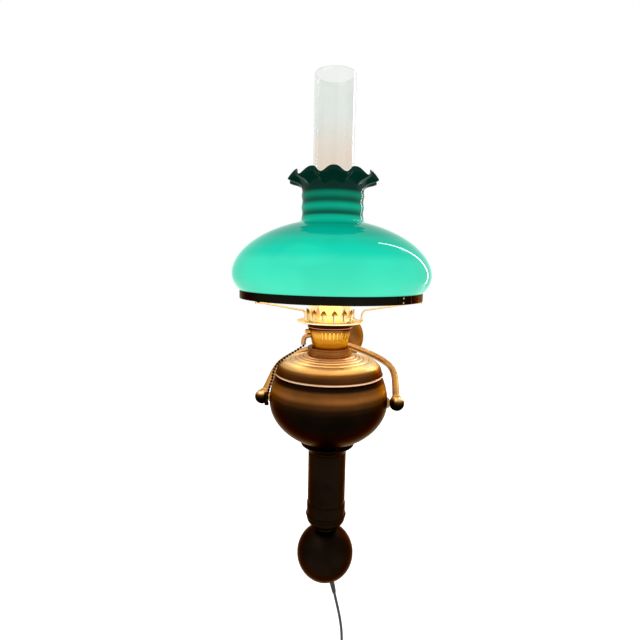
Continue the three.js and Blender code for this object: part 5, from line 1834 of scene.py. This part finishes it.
def add_pivot_ball(name, side):
    """The arm's ball end, with a ringed collar over the rod."""
    centre = arm_curve(side, 0)
    along = (arm_curve(side, 0.01) - centre).normalized()
    turn = UP.rotation_difference(along).to_matrix().to_4x4()
    radius = 10 * MM
    collar_foot = 7.6 * MM
    ball = round_end(radius, radius, 16)
    upper = [p for p in ball if p.y < collar_foot]
    collar = [point(7.4 * MM, collar_foot)]
    collar += near(0, 0, (7.4, 9.2), (5.8, 10), (7.2, 10.5), (7.2, 11.6), (5.6, 12), (5.4, 13), (0, 13))
    form = new_form()
    spin(form, mirrored_down(ball) + upper[1:] + collar, 56, Matrix.Translation(centre) @ turn)
    face = Matrix.Translation(centre) @ Matrix.Rotation(-side * math.pi / 2, 4, "Y")
    seat = near(0, 0, (0, 6), (4.6, 6), (4.6, 9.2), (4, 9.5), (0, 9.5))
    spin(form, seat, 32, face)
    add_piece(f"ball_end_{name}", form, "yoke", "ball end", f"pivot_ball_{name}")


# The wall bracket


def add_wall_bracket():
    body, place = "wall_bracket", FROM_WALL
    hole = 4.3 * MM
    radius, _, depth = wall_span("wall_dome")
    arc = rounded_arc(radius, depth, 2, reach_at(hole, radius, depth, 2), 30)
    arc[0] = point(radius - 0.2 * MM, 0.7 * MM)
    arc[-1].x = hole + 0.7 * MM
    sheet = sheet_outline(arc, 1.4 * MM)
    add_turned("dome_sheet", "wall_dome", "wall", sheet, BROAD, body=body, place=place)

    form = new_form()
    radius, start, end = wall_span("dome_nut")
    hexagon(form, radius, hole, start, end)
    add_piece("jam_nut", form, body, "wall", "dome_nut", bevel=0.2 * MM)

    _, start, end = wall_span("swivel_washer")
    washer = block(hole, 10.5 * MM, start, end)
    add_turned("hub_washer", "swivel_washer", "wall", washer, SMALL, 0.3 * MM, body, place)

    _, start, end = wall_span("swivel_cap")
    radius = 8.4 * MM
    dome_foot = 4.6 * MM
    dome_radius = radius * 0.86
    dome = shifted(round_end(dome_radius, end - start - dome_foot, 14), 0, start + dome_foot)
    form = new_form()
    hexagon(form, radius, hole, start, start + 4.4 * MM)
    foot = start + 4 * MM
    spin(form, [point(0, foot), point(dome_radius, foot), *dome], 48, place)
    add_piece("acorn_nut", form, body, "wall", "swivel_cap", bevel=0.2 * MM)

    radius, start, end = wall_span("wall_backplate")
    outline = line((0, start), (radius, start), (radius, 5 * MM), (9 * MM, 5 * MM), (9 * MM, end))
    outline += line((hole, end), (hole, 3 * MM), (0, 3 * MM))
    add_turned("back_disc", "wall_backplate", "wall", outline, SLIM, 0.4 * MM, body, place)


class LAMP_OT_stage(bpy.types.Operator):
    """Set up the camera, the floor and the studio light"""

    bl_idname = "lamp.stage"
    bl_label = "Stage"

    def execute(self, context):
        studio = context.scene.lamp_studio
        add_camera(studio)
        add_world(studio)
        add_floor(studio)
        add_area_light("key", (-0.9, -1.1, 2.2), studio.key_light, 2.2, 2.2)
        add_area_light("fill", (1.9, -1.9, 0.2), studio.fill_light, 2.4, 2.4)
        add_area_light("edge", (1.5, 1.5, 0.9), studio.edge_light, 0.06, 3.2)
        context.scene.view_settings.view_transform = "Standard"
        return {"FINISHED"}


class LAMP_OT_cord(bpy.types.Operator):
    """Build the cord, its hank and band, and the plug"""

    bl_idname = "lamp.cord"
    bl_label = "Cord and plug"

    def execute(self, context):
        sizes = context.scene.lamp_sizes
        cord, route = add_cord(sizes)
        pieces = [add_tie(), *add_plug()]
        tuple(route[0])
        route_length(route)
        return {"FINISHED"}


class LAMP_OT_shade(bpy.types.Operator):
    """Build the ruffled glass shade"""

    bl_idname = "lamp.shade"
    bl_label = "Shade"

    def execute(self, context):
        add_shade(context.scene.lamp_sizes)
        return {"FINISHED"}


class LAMP_OT_chimney(bpy.types.Operator):
    """Build the chimney and the bulb inside it"""

    bl_idname = "lamp.chimney"
    bl_label = "Chimney and bulb"

    def execute(self, context):
        add_chimney(context.scene.lamp_sizes)
        add_bulb()
        dress("steel", "bulb_cap")
        return {"FINISHED"}


class LAMP_OT_carrier(bpy.types.Operator):
    """Build the ring under the shade and the strips that hold it"""

    bl_idname = "lamp.carrier"
    bl_label = "Shade carrier"

    def execute(self, context):
        add_shade_ring()
        for number, turn in enumerate((-41, 79, 199), start=1):
            add_shade_arm(number, turn)
        return {"FINISHED"}


class LAMP_OT_burner(bpy.types.Operator):
    """Build the crown, the slotted cone and the socket in it"""

    bl_idname = "lamp.burner"
    bl_label = "Burner"

    def execute(self, context):
        sizes = context.scene.lamp_sizes
        top, tip = add_gallery_dish()
        add_crown(sizes, top, tip)
        add_basket(sizes)
        add_socket(sizes)
        dress("steel", "socket_nut")
        return {"FINISHED"}


class LAMP_OT_switch(bpy.types.Operator):
    """Build the pull switch, its chain and the bell"""

    bl_idname = "lamp.switch"
    bl_label = "Switch and chain"

    def execute(self, context):
        add_switch_housing()
        add_chain_guide()
        add_chain(context.scene.lamp_sizes)
        return {"FINISHED"}


class LAMP_OT_fount(bpy.types.Operator):
    """Build the fount's bowl, cover, collar and pivot bushes"""

    bl_idname = "lamp.fount"
    bl_label = "Fount"

    def execute(self, context):
        add_fount_bowl(context.scene.lamp_sizes)
        add_fount_top()
        add_fount_collar()
        add_fount_bosses()
        return {"FINISHED"}


class LAMP_OT_stem(bpy.types.Operator):
    """Build the stem, the ball and the sleeve that the cord leaves by"""

    bl_idname = "lamp.stem"
    bl_label = "Stem and ball"

    def execute(self, context):
        add_stem(context.scene.lamp_sizes)
        add_ball()
        add_bushing()
        dress("steel", "centre_rod")
        dress("iron", "ballast")
        return {"FINISHED"}


class LAMP_OT_yoke(bpy.types.Operator):
    """Build the yoke's hub, arms and ball ends"""

    bl_idname = "lamp.yoke"
    bl_label = "Yoke"

    def execute(self, context):
        add_yoke(context.scene.lamp_sizes)
        dress("steel", "pivot_pin_left", "pivot_pin_right")
        return {"FINISHED"}


class LAMP_OT_wall_bracket(bpy.types.Operator):
    """Build the domed wall boss and its nuts"""

    bl_idname = "lamp.wall_bracket"
    bl_label = "Wall bracket"

    def execute(self, context):
        add_wall_bracket()
        dress("steel", "wall_spindle", "wall_screw_1", "wall_screw_2", "wall_screw_3")
        return {"FINISHED"}


OPERATORS = (
    LAMP_OT_stage,
    LAMP_OT_cord,
    LAMP_OT_shade,
    LAMP_OT_chimney,
    LAMP_OT_carrier,
    LAMP_OT_burner,
    LAMP_OT_switch,
    LAMP_OT_fount,
    LAMP_OT_stem,
    LAMP_OT_yoke,
    LAMP_OT_wall_bracket,
)


class LAMP_PT_builder(bpy.types.Panel):
    """Lists the lamp's pieces, sizes and colours"""

    bl_idname = "LAMP_PT_builder"
    bl_label = "Wall lamp"
    bl_space_type = "VIEW_3D"
    bl_region_type = "UI"
    bl_category = "Lamp"

    def draw(self, context):
        for operator in OPERATORS:
            self.layout.operator(operator.bl_idname)
        scene = context.scene
        for group in (scene.lamp_sizes, scene.lamp_colours, scene.lamp_studio):
            for name in group.__annotations__:
                self.layout.prop(group, name)


CLASSES = (LampSizes, LampColours, StudioSettings, *OPERATORS, LAMP_PT_builder)


def register():
    for cls in CLASSES:
        bpy.utils.register_class(cls)
    bpy.types.Scene.lamp_sizes = PointerProperty(type=LampSizes)
    bpy.types.Scene.lamp_colours = PointerProperty(type=LampColours)
    bpy.types.Scene.lamp_studio = PointerProperty(type=StudioSettings)


def unregister():
    del bpy.types.Scene.lamp_studio
    del bpy.types.Scene.lamp_colours
    del bpy.types.Scene.lamp_sizes
    for cls in reversed(CLASSES):
        bpy.utils.unregister_class(cls)


def main():
    register()
    for operator in OPERATORS:
        group, name = operator.bl_idname.split(".")
        getattr(getattr(bpy.ops, group), name)()


if __name__ == "__main__":
    main()
